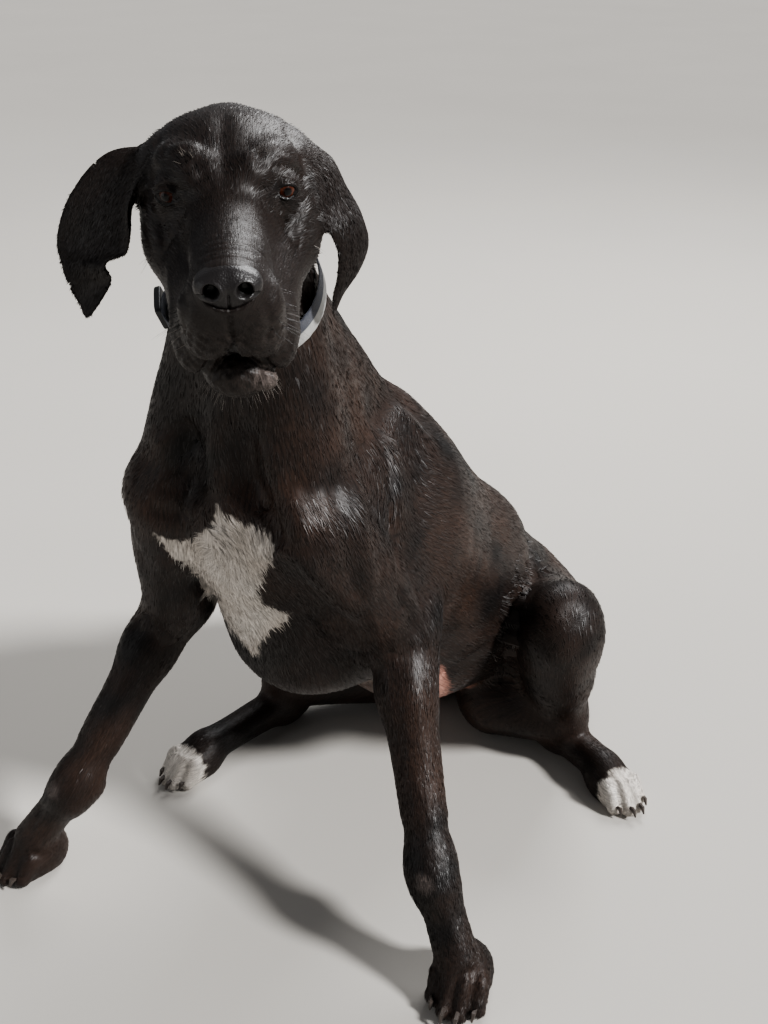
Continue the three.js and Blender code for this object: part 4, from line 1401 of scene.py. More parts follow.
def stretched(tree, place, scale):
    return add(tree, "Mapping", {"Vector": place, "Scale": scale}).outputs[0]


def blended(tree, low, high, share):
    """Mix of two colours, each a linear triple or a socket."""
    return add(tree, "Mix", {0: share, 6: low, 7: high}, data_type="RGBA").outputs[2]


def sums(tree, kind, a, b):
    """One step of arithmetic on two numbers or sockets."""
    return add(tree, "Math", {0: a, 1: b}, operation=kind).outputs[0]


def scaled(tree, tone, factor):
    """A colour times a number, both sockets."""
    return add(tree, "VectorMath", {0: tone, "Scale": factor}, operation="SCALE").outputs[0]


def noise(tree, size_mm, detail=2.0, vector=None, rough=0.5):
    """Noise whose lumps are about size_mm across, on Object coordinates unless told otherwise."""
    inputs = {"Vector": vector or object_place(tree), "Scale": 500.0 / size_mm, "Detail": detail,
              "Roughness": rough}
    return add(tree, "TexNoise", inputs).outputs["Fac"]


def ranged(tree, value, low, high, before=(0.0, 1.0)):
    """A value carried over from one range, 0 to 1 unless told otherwise, to another."""
    inputs = {0: value, 1: before[0], 2: before[1], 3: low, 4: high}
    return add(tree, "MapRange", inputs).outputs[0]


def bump(tree, strength, depth_mm, height, **settings):
    """Normal of a surface that is roughened by a height."""
    inputs = {"Strength": strength, "Distance": depth_mm / 1000, "Height": height}
    return add(tree, "Bump", inputs, **settings).outputs[0]


def strands(tree, width_mm, length_mm):
    """Streaks that run with the hair, on the unwrap, whose u follows each part from end to end."""
    place = add(tree, "UVMap", uv_map="OFBake").outputs[0]
    scale = (SHEET * width_mm / length_mm, SHEET, 1.0)
    return noise(tree, width_mm, 2, stretched(tree, place, scale))


def coat_colour(tree, colours):
    """Black hair with a brown tint in soft drifts, white hair, grey hair and thinly haired skin."""
    drift = noise(tree, 70, 3)
    tint = sums(tree, "MULTIPLY", attribute(tree, "brown"), sums(tree, "MULTIPLY", drift, 1.5))
    black = blended(tree, colours.coat, colours.coat_brown, tint)
    for mark, tone, share in (("grey", linear("#6f6760"), 0.16), ("belly", colours.bare_tan, 1.0),
                              ("groin", colours.bare_pink, 1.0), ("callus", linear("#5d5450"), 0.7)):
        black = blended(tree, black, tone, sums(tree, "MULTIPLY", attribute(tree, mark), share))
    cream = blended(tree, colours.white, linear("#a2968a"), noise(tree, 30, 3))
    return blended(tree, black, cream, attribute(tree, "white"))


def hide_material(colours):
    """Hide under a short flat coat: darker than the hair and matt, with fine pits at the roots of
    the hairs. The lids' rims and the lips are bare, black and wet."""
    material, tree, shader = new_material("hide_under_short_hair")
    # hairs are about 0.05 mm thick, drawn as strands 0.8 mm wide so that they show
    hairs = strands(tree, 0.8, 9.0)
    wet = attribute(tree, "wet")
    dry = scaled(tree, coat_colour(tree, colours), ranged(tree, hairs, 0.45, 1.5, (0.3, 0.7)))
    feed(tree, shader, {
        "Base Color": blended(tree, dry, linear("#0d0b0b"), wet), "Specular IOR Level": 0.22,
        "Roughness": ranged(tree, wet, 0.45, 0.34),
        "Normal": bump(tree, ranged(tree, wet, 0.55, 0.1), 0.7, hairs),
    })
    return material


def hair_material(colours):
    """Straight, glossy guard hair in flat locks: a soft silvery shine over near-black, each lock
    a little lighter or darker than the next."""
    material, tree, shader = new_material("glossy_short_guard_hair")
    shade = ranged(tree, attribute(tree, "shade"), 0.72, 1.25)
    feed(tree, shader, {
        "Base Color": scaled(tree, coat_colour(tree, colours), shade), "Roughness": 0.46,
        "Specular IOR Level": 0.4, "Sheen Weight": 0.04, "Sheen Roughness": 0.35,
    })
    return material


def eye_material():
    """Living eye: a wet clear cornea over a red-brown iris with radial fibres, a black pupil and a
    dark rim, and a dull brownish white."""
    material, tree, shader = new_material("wet_eye_with_brown_iris")
    polar = add(tree, "Attribute", attribute_name="polar").outputs["Vector"]
    fibres = add(tree, "TexNoise", {"Vector": polar, "Scale": 9.0, "Detail": 3.0}).outputs["Fac"]
    ramp = add(tree, "ValToRGB", {0: attribute(tree, "ring")})
    stops = [(0.0, "#020202"), (0.24, "#040303"), (0.28, "#2a130b"), (0.42, "#4f2818"), (0.60, "#3a1d15"),
             (0.68, "#0f0807"), (0.76, "#1c1412"), (0.95, "#3a2c26")]
    while len(ramp.color_ramp.elements) < len(stops):
        ramp.color_ramp.elements.new(0.5)
    for element, (place, code) in zip(ramp.color_ramp.elements, stops):
        element.position = place
        element.color = (*linear(code), 1)
    streaks = ranged(tree, fibres, 0.55, 1.35, (0.3, 0.7))
    feed(tree, shader, {
        "Base Color": scaled(tree, ramp.outputs[0], streaks), "Roughness": 0.3,
        "Specular IOR Level": 0.1, "Coat Weight": 0.6, "Coat Roughness": 0.03, "Coat IOR": 1.38,
    })
    return material


def leather_material(colours):
    """Nose leather: bare black skin in small flat cobbles, moist, so that light glints on them. The
    nostrils and the slits beside them get painted shade, blended to pure black.
    """
    material, tree, shader = new_material("moist_cobbled_nose_leather")
    inputs = {"Vector": object_place(tree), "Scale": 620.0, "Smoothness": 0.4}
    cobbles = add(tree, "TexVoronoi", inputs, feature="SMOOTH_F1")
    fine = noise(tree, 0.8, 3)
    tone = blended(tree, colours.leather, linear("#211d1d"), fine)
    height = sums(tree, "ADD", cobbles.outputs["Distance"], sums(tree, "MULTIPLY", fine, 0.2))
    feed(tree, shader, {
        # painted shade: the nostrils and slits go to black
        "Base Color": blended(tree, tone, BLACK, attribute(tree, "pit")), "Roughness": 0.42,
        "Specular IOR Level": 0.35, "Coat Weight": 0.12, "Coat Roughness": 0.25,
        "Normal": bump(tree, 0.5, 0.6, height, invert=True),
    })
    return material


def horn_material():
    """Claw horn, grown in layers: dark grey-brown with fine streaks and a dull worn shine."""
    material, tree, shader = new_material("streaked_claw_horn")
    streaks = noise(tree, 0.9, 3, stretched(tree, object_place(tree), (1.0, 1.0, 0.25)))
    feed(tree, shader, {
        "Base Color": blended(tree, linear("#1b1716"), linear("#4a413b"), streaks),
        "Roughness": 0.38, "Normal": bump(tree, 0.3, 0.3, streaks),
    })
    return material


def webbing_material():
    """Woven nylon webbing, half pale grey and half navy, with ribs across it and fuzz from wear."""
    material, tree, shader = new_material("woven_nylon_webbing")
    split = add(tree, "SeparateXYZ", {0: add(tree, "UVMap", uv_map="Weave").outputs[0]})
    along, across = split.outputs[:2]
    # ribs of the weave are 1.4 mm apart along the strap and threads 1.1 mm apart across it
    ribs = sums(tree, "SINE", sums(tree, "MULTIPLY", along, 2 * math.pi / 1.4), 0.0)
    threads = sums(tree, "SINE", sums(tree, "MULTIPLY", across, 2 * math.pi / 1.1), 0.0)
    weave = sums(tree, "MULTIPLY", ribs, threads)
    wear = noise(tree, 6, 4, rough=0.7)
    pale = blended(tree, linear("#d6d6d3"), linear("#8d8b87"), wear)
    navy = blended(tree, linear("#161a28"), linear("#2d3346"), wear)
    tone = blended(tree, pale, navy, ranged(tree, across, 0.0, 1.0, (-0.5, 0.5)))
    shadow = ranged(tree, weave, 0.0, 0.35, (-1.0, 1.0))
    feed(tree, shader, {
        "Base Color": blended(tree, tone, BLACK, shadow), "Roughness": 0.75, "Sheen Weight": 0.2,
        "Normal": bump(tree, 0.7, 0.5, weave),
    })
    return material


def moulded_material():
    """Injection-moulded acetal, satin black with a fine spark-eroded grain."""
    material, tree, shader = new_material("moulded_black_acetal")
    grain = noise(tree, 0.5, 2)
    feed(tree, shader, {
        "Base Color": blended(tree, linear("#17181a"), linear("#222427"), grain),
        "Roughness": 0.45, "Normal": bump(tree, 0.2, 0.2, grain),
    })
    return material


def plated_material():
    """Nickel-plated steel wire: bright, with faint rubbed patches."""
    material, tree, shader = new_material("nickel_plated_steel")
    rubbed = noise(tree, 4, 3)
    feed(tree, shader, {
        "Base Color": blended(tree, linear("#b9b6b0"), linear("#8e8b86"), rubbed),
        "Roughness": ranged(tree, rubbed, 0.18, 0.38), "Metallic": 1.0,
    })
    return material


def whisker_material():
    """Whiskers: smooth tapered stiff hairs, mostly black, some grey on chin and brow."""
    material, tree, shader = new_material("smooth_whisker_hair")
    tone = blended(tree, linear("#100d0c"), linear("#7c756e"), attribute(tree, "grey"))
    feed(tree, shader, {"Base Color": tone, "Roughness": 0.35})
    return material


def floor_material():
    """Matt painted studio floor."""
    material, tree, shader = new_material("matt_painted_floor")
    tone = blended(tree, linear("#b4b0aa"), linear("#aeaaa4"), noise(tree, 400, 3))
    feed(tree, shader, {"Base Color": tone, "Roughness": 0.85})
    return material


# Pieces
def fast_mesh(name, points, tris):
    """Mesh from whole arrays of points in metres and triangles."""
    mesh = bpy.data.meshes.new(name)
    mesh.vertices.add(len(points))
    mesh.vertices.foreach_set("co", points.astype(np.float32).ravel())
    mesh.loops.add(tris.size)
    mesh.loops.foreach_set("vertex_index", tris.astype(np.int32).ravel())
    mesh.polygons.add(len(tris))
    mesh.polygons.foreach_set("loop_start", np.arange(0, tris.size, 3, dtype=np.int32))
    mesh.update(calc_edges=True)
    return mesh


def set_values(mesh, name, values):
    """A number for each vertex, or a triple."""
    kind = "FLOAT" if values.ndim == 1 else "FLOAT_VECTOR"
    layer = mesh.attributes.new(name, kind, "POINT")
    layer.data.foreach_set("value" if values.ndim == 1 else "vector", values.astype(np.float32).ravel())


def set_uv(mesh, name, corners):
    mesh.uv_layers.new(name=name).data.foreach_set("uv", corners.astype(np.float32).ravel())


def finish_piece(piece, material, slot, *nodes):
    """Gives a piece its material, its body and the solids it replaces. The slot is not used."""
    piece.data.materials.append(material)
    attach(piece, "root")
    if nodes:
        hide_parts(*nodes)
    return piece


FLESH = ["head", "lower_jaw", "ear_left", "ear_right", "chest", "abdomen", "rump", "neck", "tail_base",
         "tail_tip"]
for flesh_side in ("left", "right"):
    for flesh_part in ("upper_arm", "shoulder", "forearm", "front_paw", "thigh", "shin", "hind_foot"):
        FLESH.append(flesh_part + "_" + flesh_side)
skin = {}
# Longest edges of the skin's triangles, in metres, and the middle of the muzzle in the head's axes
BODY_EDGE = 0.0105
HEAD_EDGE = 0.0054
MUZZLE_EDGE = 0.0027
EYE_EDGE = 0.0016
RIM_EDGE = 0.003
PATCH_EDGE = 0.0036
MUZZLE = vec(0, 118, -66)
NOTCH_HALF = 13.0
NOTCH_ASIDE = -3.0
NOTCH_DEEP = 6.0


def eye_distance(points):
    """Distance to the middle of the nearer eye."""
    return np.minimum(*(norms(points - eye_frame(s)[0]) for s in (1, -1)))


def mouth_gap(points):
    """How far a point lies inside the open notch between the upper lips: a wedge that widens from
    the foot of the groove under the nose down to the lower lip."""
    local = head_axes(points)
    x, forward, z = local.T
    half = NOTCH_HALF * np.clip((-z - 57) / 38, 0, 1) - np.abs(x - NOTCH_ASIDE * smooth(-z, 60, 90))
    half += waves(points, 9, 47) * 1.2
    band = smooth(-z, 56, 60) * smooth(z, -96, -88)
    return smooth(half, -0.5, 3.0) * band * smooth(forward, 88, 104)


def nose_seat(points):
    """Backward move of the skin that leaves room for the nose leather."""
    local = head_axes(points)
    drop = np.maximum(-local[:, 2] - 13, 0)
    tall = np.where(drop > 0, 13.5, 16.0)
    reach = np.hypot(local[:, 0] / (25.5 - 0.6 * drop), (local[:, 2] + 13) / tall)
    return smooth(-reach, -1.04, -0.84) * np.maximum(local[:, 1] - 147, 0) * (local[:, 1] > 100)


def settle_mesh(mesh, rounds, relax=0.4):
    """Moves a mesh onto the skin and gives its new points."""
    points = settled(to_dog(coordinates(mesh)), triangles(mesh), rounds, relax)
    set_coordinates(mesh, to_frame(points))
    return points


def coarse_skin(sizes):
    """All bars joined on a grid, moved onto their smooth union and thinned out."""
    mesh = with_modifier(base_mesh(), "REMESH", mode="VOXEL", voxel_size=sizes.voxel)
    mesh = with_modifier(mesh, "SMOOTH", factor=0.5, iterations=24)
    settle_mesh(mesh, 4)
    mesh = with_modifier(mesh, "DECIMATE", ratio=sizes.faces / (2 * len(mesh.polygons)))
    return refined(mesh, np.ones(len(mesh.vertices), bool), BODY_EDGE)


def split_skin(mesh):
    """Splits the skin finer on head, ears, feet and drawn relief, then on eyes and muzzle, along
    the rims of the ears and along the edge of the chest patch."""
    points = to_dog(coordinates(mesh))
    fine = in_part(lie_weights(points)[1], "head", "ear", "hind_foot")
    fine |= (points[:, 2] < 75) & (points[:, 1] < -420)
    fine |= np.abs(photo_height(points)) > 0.6
    mesh = refined(mesh, fine, HEAD_EDGE)
    settle_mesh(mesh, 3, 0.3)
    points = to_dog(coordinates(mesh))
    local = head_axes(points)
    near = (eye_distance(points) < 27) & (local[:, 1] > -20)
    near |= (norms(local - MUZZLE) < 74) & (local[:, 1] > 40)
    mesh = refined(mesh, near, MUZZLE_EDGE)
    points = to_dog(coordinates(mesh))
    near = (eye_distance(points) < 21) & (head_axes(points)[:, 1] > -20)
    mesh = refined(mesh, near, EYE_EDGE)
    for reach in (9, 6):
        points = settle_mesh(mesh, 1, 0.25)
        mesh = refined(mesh, rim_distance(points) < reach, RIM_EDGE)
    for reach in (9, 6):
        points = to_dog(coordinates(mesh))
        right, down = photo_place(points)
        near = (points[:, 1] < -380) & (points[:, 2] > 250)
        near[near] = np.abs(inside_outline(right[near], down[near], CHEST_PATCH)) < reach
        mesh = refined(mesh, near, PATCH_EDGE)
    return mesh


def build_skin(sizes):
    """One closed skin, sculpted: relief first, then lids, mouth and the seat of the nose leather."""
    mesh = split_skin(coarse_skin(sizes))
    tris = triangles(mesh)
    points = snapped_rims(settled(to_dog(coordinates(mesh)), tris, 3, relax=0.25))
    on_body = ~in_part(lie_weights(points)[1], "head")
    height = face_height(points) + body_height(points) * on_body + photo_height(points)
    points = points + point_normals(points, tris) * height[:, None]
    steep = smooth(np.abs(height), 2.5, 6)[:, None]
    for _ in range(8):
        points = points + 0.5 * steep * (neighbour_mean(points, tris) - points)
    lids, rim = lid_move(points, point_normals(points, tris))
    points = points + lids
    gap = mouth_gap(points)
    rim = np.maximum(rim, gap)
    back = nose_seat(points) + NOTCH_DEEP * gap
    points = points + back[:, None] * head_way(0, -1, -0.1)
    points[:, 2] = np.maximum(points[:, 2], 0.3)
    return mesh, points, tris, rim


def lip_wetness(points):
    """1 on the bare edge of the upper lips, 0 a few millimetres off it."""
    wet = np.zeros(len(points))
    for side in (1, -1):
        edge = np.array([in_head(x * side, f, z) for x, f, z in LIP_EDGE])
        edge = onto_skin(along_path(edge, np.linspace(0, 1, 30)))
        wet = np.maximum(wet, smooth(-line_distance(points, edge)[0], -4.2, -2.2))
    return wet


# Coat
LONGEST_TUFT = 13.0


def hair_length(points, chart, local):
    """Length of a tuft in millimetres: short on face, legs and feet, longer on trunk and tail."""
    by_part = dict(
        head=3.6 + 5.4 * smooth(-local[:, 1], -110, 60),
        ear=3.0 + 3.5 * smooth(rim_distance(points), 2, 12),
        neck=11.0,
        foreleg=7.0 + 5.0 * smooth(points[:, 2], 200, 480),
        thigh=11.0,
        hind_foot=6.0,
    )
    length = np.full(len(points), LONGEST_TUFT)
    for part, values in by_part.items():
        length = np.where(in_part(chart, part), values, length)
    limbs = in_part(chart, "foreleg", "thigh", "hind_foot")
    return mix(length, 5.0, smooth(-points[:, 2], -120, -60) * limbs)


def tuft_mesh(name, rows, count, seed):
    """Tufts on chosen skin triangles. Each is a closed sliver of four faces: two corners at the
    root, a ridge a third of the way along, and a tip that stands a little clear of the skin."""
    rng = np.random.default_rng(seed)
    points, tris = skin["points"], skin["tris"]
    weight = skin["area"][rows] * skin["density"][rows]
    total = np.cumsum(weight)
    even = (np.arange(count) + rng.random(count)) / count
    pick = rows[np.searchsorted(total, even * total[-1] * 0.99999)]
    u, v = rng.random((2, count))
    over = u + v > 1
    u[over], v[over] = 1 - u[over], 1 - v[over]
    share = np.stack([1 - u - v, u, v], 1)[:, :, None]

    def at_root(values):
        return (values[tris[pick]] * share).sum(1)

    root = at_root(points)
    normal = unit(at_root(skin["normals"]))
    lie = at_root(skin["lie"])
    side = unit(np.cross(normal, lie))
    lie = unit(lie + side * rng.normal(0, 0.13, (count, 1)))
    side = unit(np.cross(normal, lie))
    length = at_root(skin["length"][:, None]) * rng.uniform(0.75, 1.25, (count, 1))
    width = (0.4 + length * 0.052) * rng.uniform(0.8, 1.25, (count, 1))
    lift = (0.2 + 0.04 * length) * rng.uniform(0.6, 1.5, (count, 1)) + at_root(skin["ruffle"][:, None])
    sink = normal * 0.25
    bow = side * rng.normal(0, 0.05, (count, 1)) * length
    corners = np.stack([
        root - side * width / 2 - sink,
        root + side * width / 2 - sink,
        root + lie * length * 0.36 + normal * (0.2 + 0.5 * lift) + bow,
        root + lie * length + normal * lift,
    ], 1)
    corners[..., 2] = np.maximum(corners[..., 2], 0.0)
    sides = np.array([(0, 3, 2), (2, 3, 1), (0, 2, 1), (1, 3, 0)])
    faces = sides[None] + 4 * np.arange(count)[:, None, None]
    mesh = fast_mesh(name, to_frame(corners.reshape(-1, 3)), faces.reshape(-1, 3))
    centre = (skin["uv"][pick] * share).sum(1)
    patch = np.array([(-0.0015, -0.0015), (0.0015, -0.0015), (0.0, 0.0), (0.0, 0.0015)])
    uv = centre[:, None, :] + patch
    set_uv(mesh, "OFBake", uv[:, sides.ravel()].reshape(-1, 2))
    marks = {key: at_root(values[:, None])[:, 0] for key, values in skin["marks"].items()}
    marks["white"] = white_mask(root, normal, skin["chart"][pick])
    for key, values in marks.items():
        set_values(mesh, key, np.repeat(values, 4))
    set_values(mesh, "shade", np.repeat(rng.random(count), 4))
    # each tuft shines as the surface under it does, tipped a little its own way
    shine = unit(normal + side * rng.normal(0, 0.12, (count, 1)) + lie * rng.normal(-0.05, 0.1, (count, 1)))
    mesh.shade_smooth()
    mesh.normals_split_custom_set_from_vertices(np.repeat(shine, 4, axis=0).astype(np.float32))
    return mesh


# Name of each coat piece, the part it covers, its number of tufts and its random seed
COATS = [
    ("coat_trunk_front", "trunk", 47000, 11),
    ("coat_trunk_back", "trunk", 44000, 12),
    ("coat_neck", "neck", 38000, 13),
    ("coat_face", "head", 48000, 14),
    ("coat_skull", "head", 26000, 15),
    ("coat_ears", "ear", 26000, 16),
    ("coat_foreleg_left", "foreleg_left", 40000, 17),
    ("coat_foreleg_right", "foreleg_right", 36000, 18),
    ("coat_thigh_left", "thigh_left", 30000, 19),
    ("coat_thigh_right", "thigh_right", 26000, 20),
    ("coat_feet", "hind_foot", 20000, 21),
    ("coat_tail", "tail", 7000, 22),
]


def coat_rows(name, part):
    """Skin triangles that a coat piece grows on."""
    centre = skin["points"][skin["tris"]].mean(1)
    forward = head_axes(centre)[:, 1]
    halves = dict(coat_trunk_front=centre[:, 1] < -300, coat_trunk_back=centre[:, 1] >= -300,
                  coat_face=forward > -10, coat_skull=forward <= -10)
    rows = in_part(skin["chart"], part) & halves.get(name, True) & (centre[:, 2] > 2.0)
    return np.flatnonzero(rows)


# Whiskers and other single long hairs
def hair_tubes(roots, ways, lengths, radii, droop, seed, joints=6):
    """Tapered round hairs: a circle carried along an arc that starts along its way and droops."""
    rng = np.random.default_rng(seed)
    count = len(roots)
    t = np.linspace(0, 1, joints + 1)[None, :, None]
    bend = unit(rng.normal(size=(count, 3))) * 0.12 + vec(0, 0, -1) * droop
    line = roots[:, None] + lengths[:, None, None] * (ways[:, None] * t + bend[:, None] * t * t)
    side = unit(np.cross(ways, vec(0.3, 0.2, 0.93)))
    top = np.cross(side, ways)
    angle = np.arange(3) * 2 * math.pi / 3
    ring = np.cos(angle)[None, :, None] * side[:, None] + np.sin(angle)[None, :, None] * top[:, None]
    size = (radii[:, None] * (1 - 0.88 * t[0, :-1, 0]))[:, :, None, None]
    body = (line[:, :-1, None] + ring[:, None] * size).reshape(count, -1, 3)
    points = np.concatenate([body, line[:, -1:]], 1)
    faces = [(2, 1, 0)]
    for j in range(joints - 1):
        for k in range(3):
            a, b = j * 3 + k, j * 3 + (k + 1) % 3
            faces += [(a, b, b + 3), (a, b + 3, a + 3)]
    last = (joints - 1) * 3
    faces += [(last + k, last + (k + 1) % 3, last + 3) for k in range(3)]
    faces = np.array(faces)[None] + points.shape[1] * np.arange(count)[:, None, None]
    return points.reshape(-1, 3), faces.reshape(-1, 3), points.shape[1]


def skin_at(spots):
    """Nearest skin point and its normal to each given spot."""
    index = [((skin["points"] - spot) ** 2).sum(1).argmin() for spot in spots]
    return skin["points"][index], skin["normals"][index]


def whisker_sets():
    """Rows of whiskers: middle and spread of their roots in the head's axes, way, count, length,
    radius and share that is grey."""
    sets = []
    for s in (1, -1):
        sets += [
            ((s * 34, 118, -58), (10, 16, 14), (s * 0.9, 0.25, -0.45), 18, 20, 0.2, 0.2),
            ((s * 22, 108, -128), (12, 14, 7), (s * 0.35, 0.5, -0.9), 22, 13, 0.16, 0.7),
            ((s * 30, 8, 34), (8, 4, 5), (s * 0.2, 0.75, 0.75), 9, 17, 0.26, 0.8),
            ((s * 58, 6, -52), (3, 4, 3), (s * 0.9, 0.3, -0.4), 4, 22, 0.26, 0.3),
            ((s * 44, 70, -98), (3, 24, 8), (s * 0.7, 0.1, -0.8), 14, 8, 0.16, 0.5),
        ]
    sets.append(((0, 100, -136), (16, 16, 4), (0, 0.3, -1), 16, 13, 0.16, 0.7))
    return sets


def build_whiskers():
    """Roots, ways, lengths, radii and greyness of all whiskers."""
    rng = np.random.default_rng(31)
    roots, ways, lengths, radii, greys = [], [], [], [], []
    for middle, spread, way, count, length, radius, grey in whisker_sets():
        spots = [in_head(*(np.array(middle) + rng.uniform(-1, 1, 3) * spread)) for _ in range(count)]
        root, normal = skin_at(spots)
        aim = head_way(*way)
        roots.append(root - normal * 0.4)
        ways.append(unit(normal * 0.7 + aim + rng.normal(0, 0.16, (count, 3))))
        lengths.append(length * rng.uniform(0.55, 1.3, count))
        radii.append(np.full(count, radius))
        greys.append((rng.random(count) < grey).astype(float))
    return [np.concatenate(a) for a in (roots, ways, lengths, radii, greys)]


# Eyes, nose leather, collar
def build_eye(side, radius):
    """Eyeball: radius by the angle from the gaze, with the cornea bulging over the iris."""
    centre, gaze, outer, upward = eye_frame(side)
    angle = np.concatenate([np.linspace(0, 1.1, 45), np.linspace(1.15, math.pi, 24)])
    turn = circle(64)
    bulge = 1.0 * smooth(0.62 - angle, 0, 0.62)
    r = (radius + bulge)[:, None, None]
    ring = np.cos(turn)[:, None] * outer + np.sin(turn)[:, None] * upward
    grid = centre + r * (np.cos(angle)[:, None, None] * gaze + np.sin(angle)[:, None, None] * ring)
    points, faces = tube_mesh(grid)
    flat_angle = np.concatenate([angle[:1], np.repeat(angle[1:-1], 64), angle[-1:]])
    flat_turn = np.concatenate([[0], np.tile(turn, len(angle) - 2), [0]])
    polar = np.stack([np.cos(flat_turn), np.sin(flat_turn), flat_angle * 0.35], 1)
    return points, faces, flat_angle, polar


NOSE_HALF = 26.5
NOSE_AHEAD = 146.0
NOSE_BELOW = 12.0
NOSTRIL = (12.6, 1.0)


def build_nose():
    """Nose leather: a flattened ball, broad above and narrow below, pressed in at the nostrils and
    at the slits beside them, with raised rims and a groove down its middle. Also gives the painted
    shade that darkens the nostrils and the slits."""
    polar = np.linspace(0, math.pi, 84)[:, None] * np.ones(128)
    turn = circle(128) * np.ones((84, 1))
    across = np.sin(polar) ** 0.86
    x = NOSE_HALF * across * np.cos(turn)
    z = np.where(np.sin(turn) > 0, 16.5, 19.0) * across * np.sin(turn)
    x = x * (1 - 0.42 * smooth(-z, 3, 21)) * (1 - 0.16 * smooth(z, 6, 18))
    forward = 13.5 * np.sign(np.cos(polar)) * np.abs(np.cos(polar)) ** 0.62
    forward = forward - 3.0 * smooth(z, 2, 17) - 2.0 * (x / NOSE_HALF) ** 2
    face = smooth(forward, -4, 4)
    aside = np.abs(x)
    hole = np.hypot(aside - NOSTRIL[0], (z - NOSTRIL[1]) * 1.05)
    pit = np.exp(-(hole / 5.4) ** 4)
    slit_x = aside - 17.5
    slit_z = z + 2.5 + 0.35 * slit_x
    slit = bell(slit_z, 1.9) * smooth(slit_x, -4, 0) * smooth(-slit_x, -8.5, -4)
    rim = bell(hole - 7.4, 1.8)
    groove = bell(x, 1.3) * smooth(-z, -6, 4)
    dent = bell(x, 4.5) * smooth(z, 0, 12)
    forward = forward + face * (-9.5 * pit - 3.2 * slit + 1.0 * rim - 1.7 * groove - 0.9 * dent)
    flat = np.stack([x, -NOSE_AHEAD - forward, z - NOSE_BELOW], -1).reshape(-1, 3)
    grid = (flat @ HEAD.T + HEAD_PLACE).reshape(x.shape + (3,))
    points, faces = tube_mesh(grid)
    # painted shade: dark in the nostrils, and less dark in the slits, as shade in these hollows
    dark = np.clip(face * (pit + slit * 0.7), 0, 1)
    dark = np.concatenate([dark[0, :1], dark[1:-1].ravel(), dark[-1, :1]])
    return points, faces, dark


COLLAR_LEAN = math.radians(-10)
COLLAR_MIDDLE = mix(NECK_TOP, NECK_ROOT, 0.26)
COLLAR_ROLL = 80.0
NECK_BARS = neck_bars()


def collar_frame():
    """Axis of the collar, leaned from the neck's, and two directions across it."""
    plain = unit(NECK_TOP - NECK_ROOT)
    side = unit(np.cross(plain, UP))
    axis = plain * math.cos(COLLAR_LEAN) + np.cross(side, plain) * math.sin(COLLAR_LEAN)
    side = unit(np.cross(axis, UP))
    return axis, side, np.cross(side, axis)


def neck_radius(ways):
    """Distance from the collar's middle to the skin along each way, found by halving."""
    low = np.full(len(ways), 30.0)
    high = np.full(len(ways), 150.0)
    for _ in range(18):
        half = (low + high) / 2
        inside = bars_distance(NECK_BARS, COLLAR_MIDDLE + ways * half[:, None]) < 0
        low = np.where(inside, half, low)
        high = np.where(inside, high, half)
    return low


def build_strap(width):
    """Strap: a rounded thin section carried around the neck, a little slack, with edges that
    waver by half a millimetre from wear."""
    axis, side, top = collar_frame()
    around = 220
    turn = circle(around)
    ways = np.cos(turn)[:, None] * side + np.sin(turn)[:, None] * top
    radius = neck_radius(ways)
    profile = circle(28)
    flat = np.sign(np.cos(profile)) * np.abs(np.cos(profile)) ** 0.35
    thick = np.sign(np.sin(profile)) * np.abs(np.sin(profile)) ** 0.6
    wave = 0.45 * np.sin(turn * 37) + 0.35 * np.sin(turn * 61 + 1)
    reach = (flat * width / 2)[None, :] + wave[:, None] * np.abs(flat)[None, :] * 0.5
    out = radius[:, None] + 3.6 + 1.2 * thick[None, :] + 0.5 * np.sin(turn * 5)[:, None]
    grid = COLLAR_MIDDLE + ways[:, None] * out[..., None] + axis * reach[..., None]
    arc = turn[:, None] * COLLAR_ROLL * np.ones(28)
    return grid, np.stack([arc, reach], -1)


def ring_mesh(grid):
    """Vertices and quads of a grid that closes both ways."""
    rows, columns = grid.shape[:2]
    index = np.arange(rows * columns).reshape(rows, columns)
    follow = np.roll(index, -1, axis=0)
    quads = np.stack([index, follow, np.roll(follow, -1, axis=1), np.roll(index, -1, axis=1)], -1)
    return grid.reshape(-1, 3), quads.reshape(-1, 4)


def turned_out(points, faces):
    """Faces turned to point outwards, by the sign of the volume they hold."""
    faces = [list(f) for f in faces]
    volume = sum(float(points[f[0]] @ np.cross(points[f[1]], points[f[2]]))
                 + (float(points[f[0]] @ np.cross(points[f[2]], points[f[3]])) if len(f) == 4 else 0.0)
                 for f in faces)
    return [f[::-1] for f in faces] if volume < 0 else faces


def on_collar(degrees, lift):
    """Place on the collar's outer face and the three directions there: along, across and out."""
    axis, side, top = collar_frame()
    angle = math.radians(degrees)
    out = math.cos(angle) * side + math.sin(angle) * top
    radius = neck_radius(out[None])[0]
    place = COLLAR_MIDDLE + out * (radius + 5.5 + lift)
    return place, np.cross(axis, out), axis, out


def rounded_box(place, ways, half, power, bend=0.0):
    """Box with rounded edges: a ball whose sines and cosines are raised to a small power, so that
    its sides go flat; its ends bend down by the square of the distance along."""
    polar = np.linspace(0, math.pi, 40)[:, None]
    turn = circle(72)[None]

    def power_of(v):
        return np.sign(v) * np.abs(v) ** power

    along = half[0] * power_of(np.cos(polar)) * np.ones_like(turn)
    ring = power_of(np.sin(polar))
    across = half[1] * ring * power_of(np.cos(turn))
    out = half[2] * ring * power_of(np.sin(turn)) - bend * (along / half[0]) ** 2
    return place + along[..., None] * ways[0] + across[..., None] * ways[1] + out[..., None] * ways[2]


def add_piece(name, points, faces):
    """Piece with smooth faces turned outwards, from points in millimetres."""
    mesh = new_mesh(name, to_frame(points), turned_out(points, faces))
    mesh.shade_smooth()
    return new_piece(name, mesh)


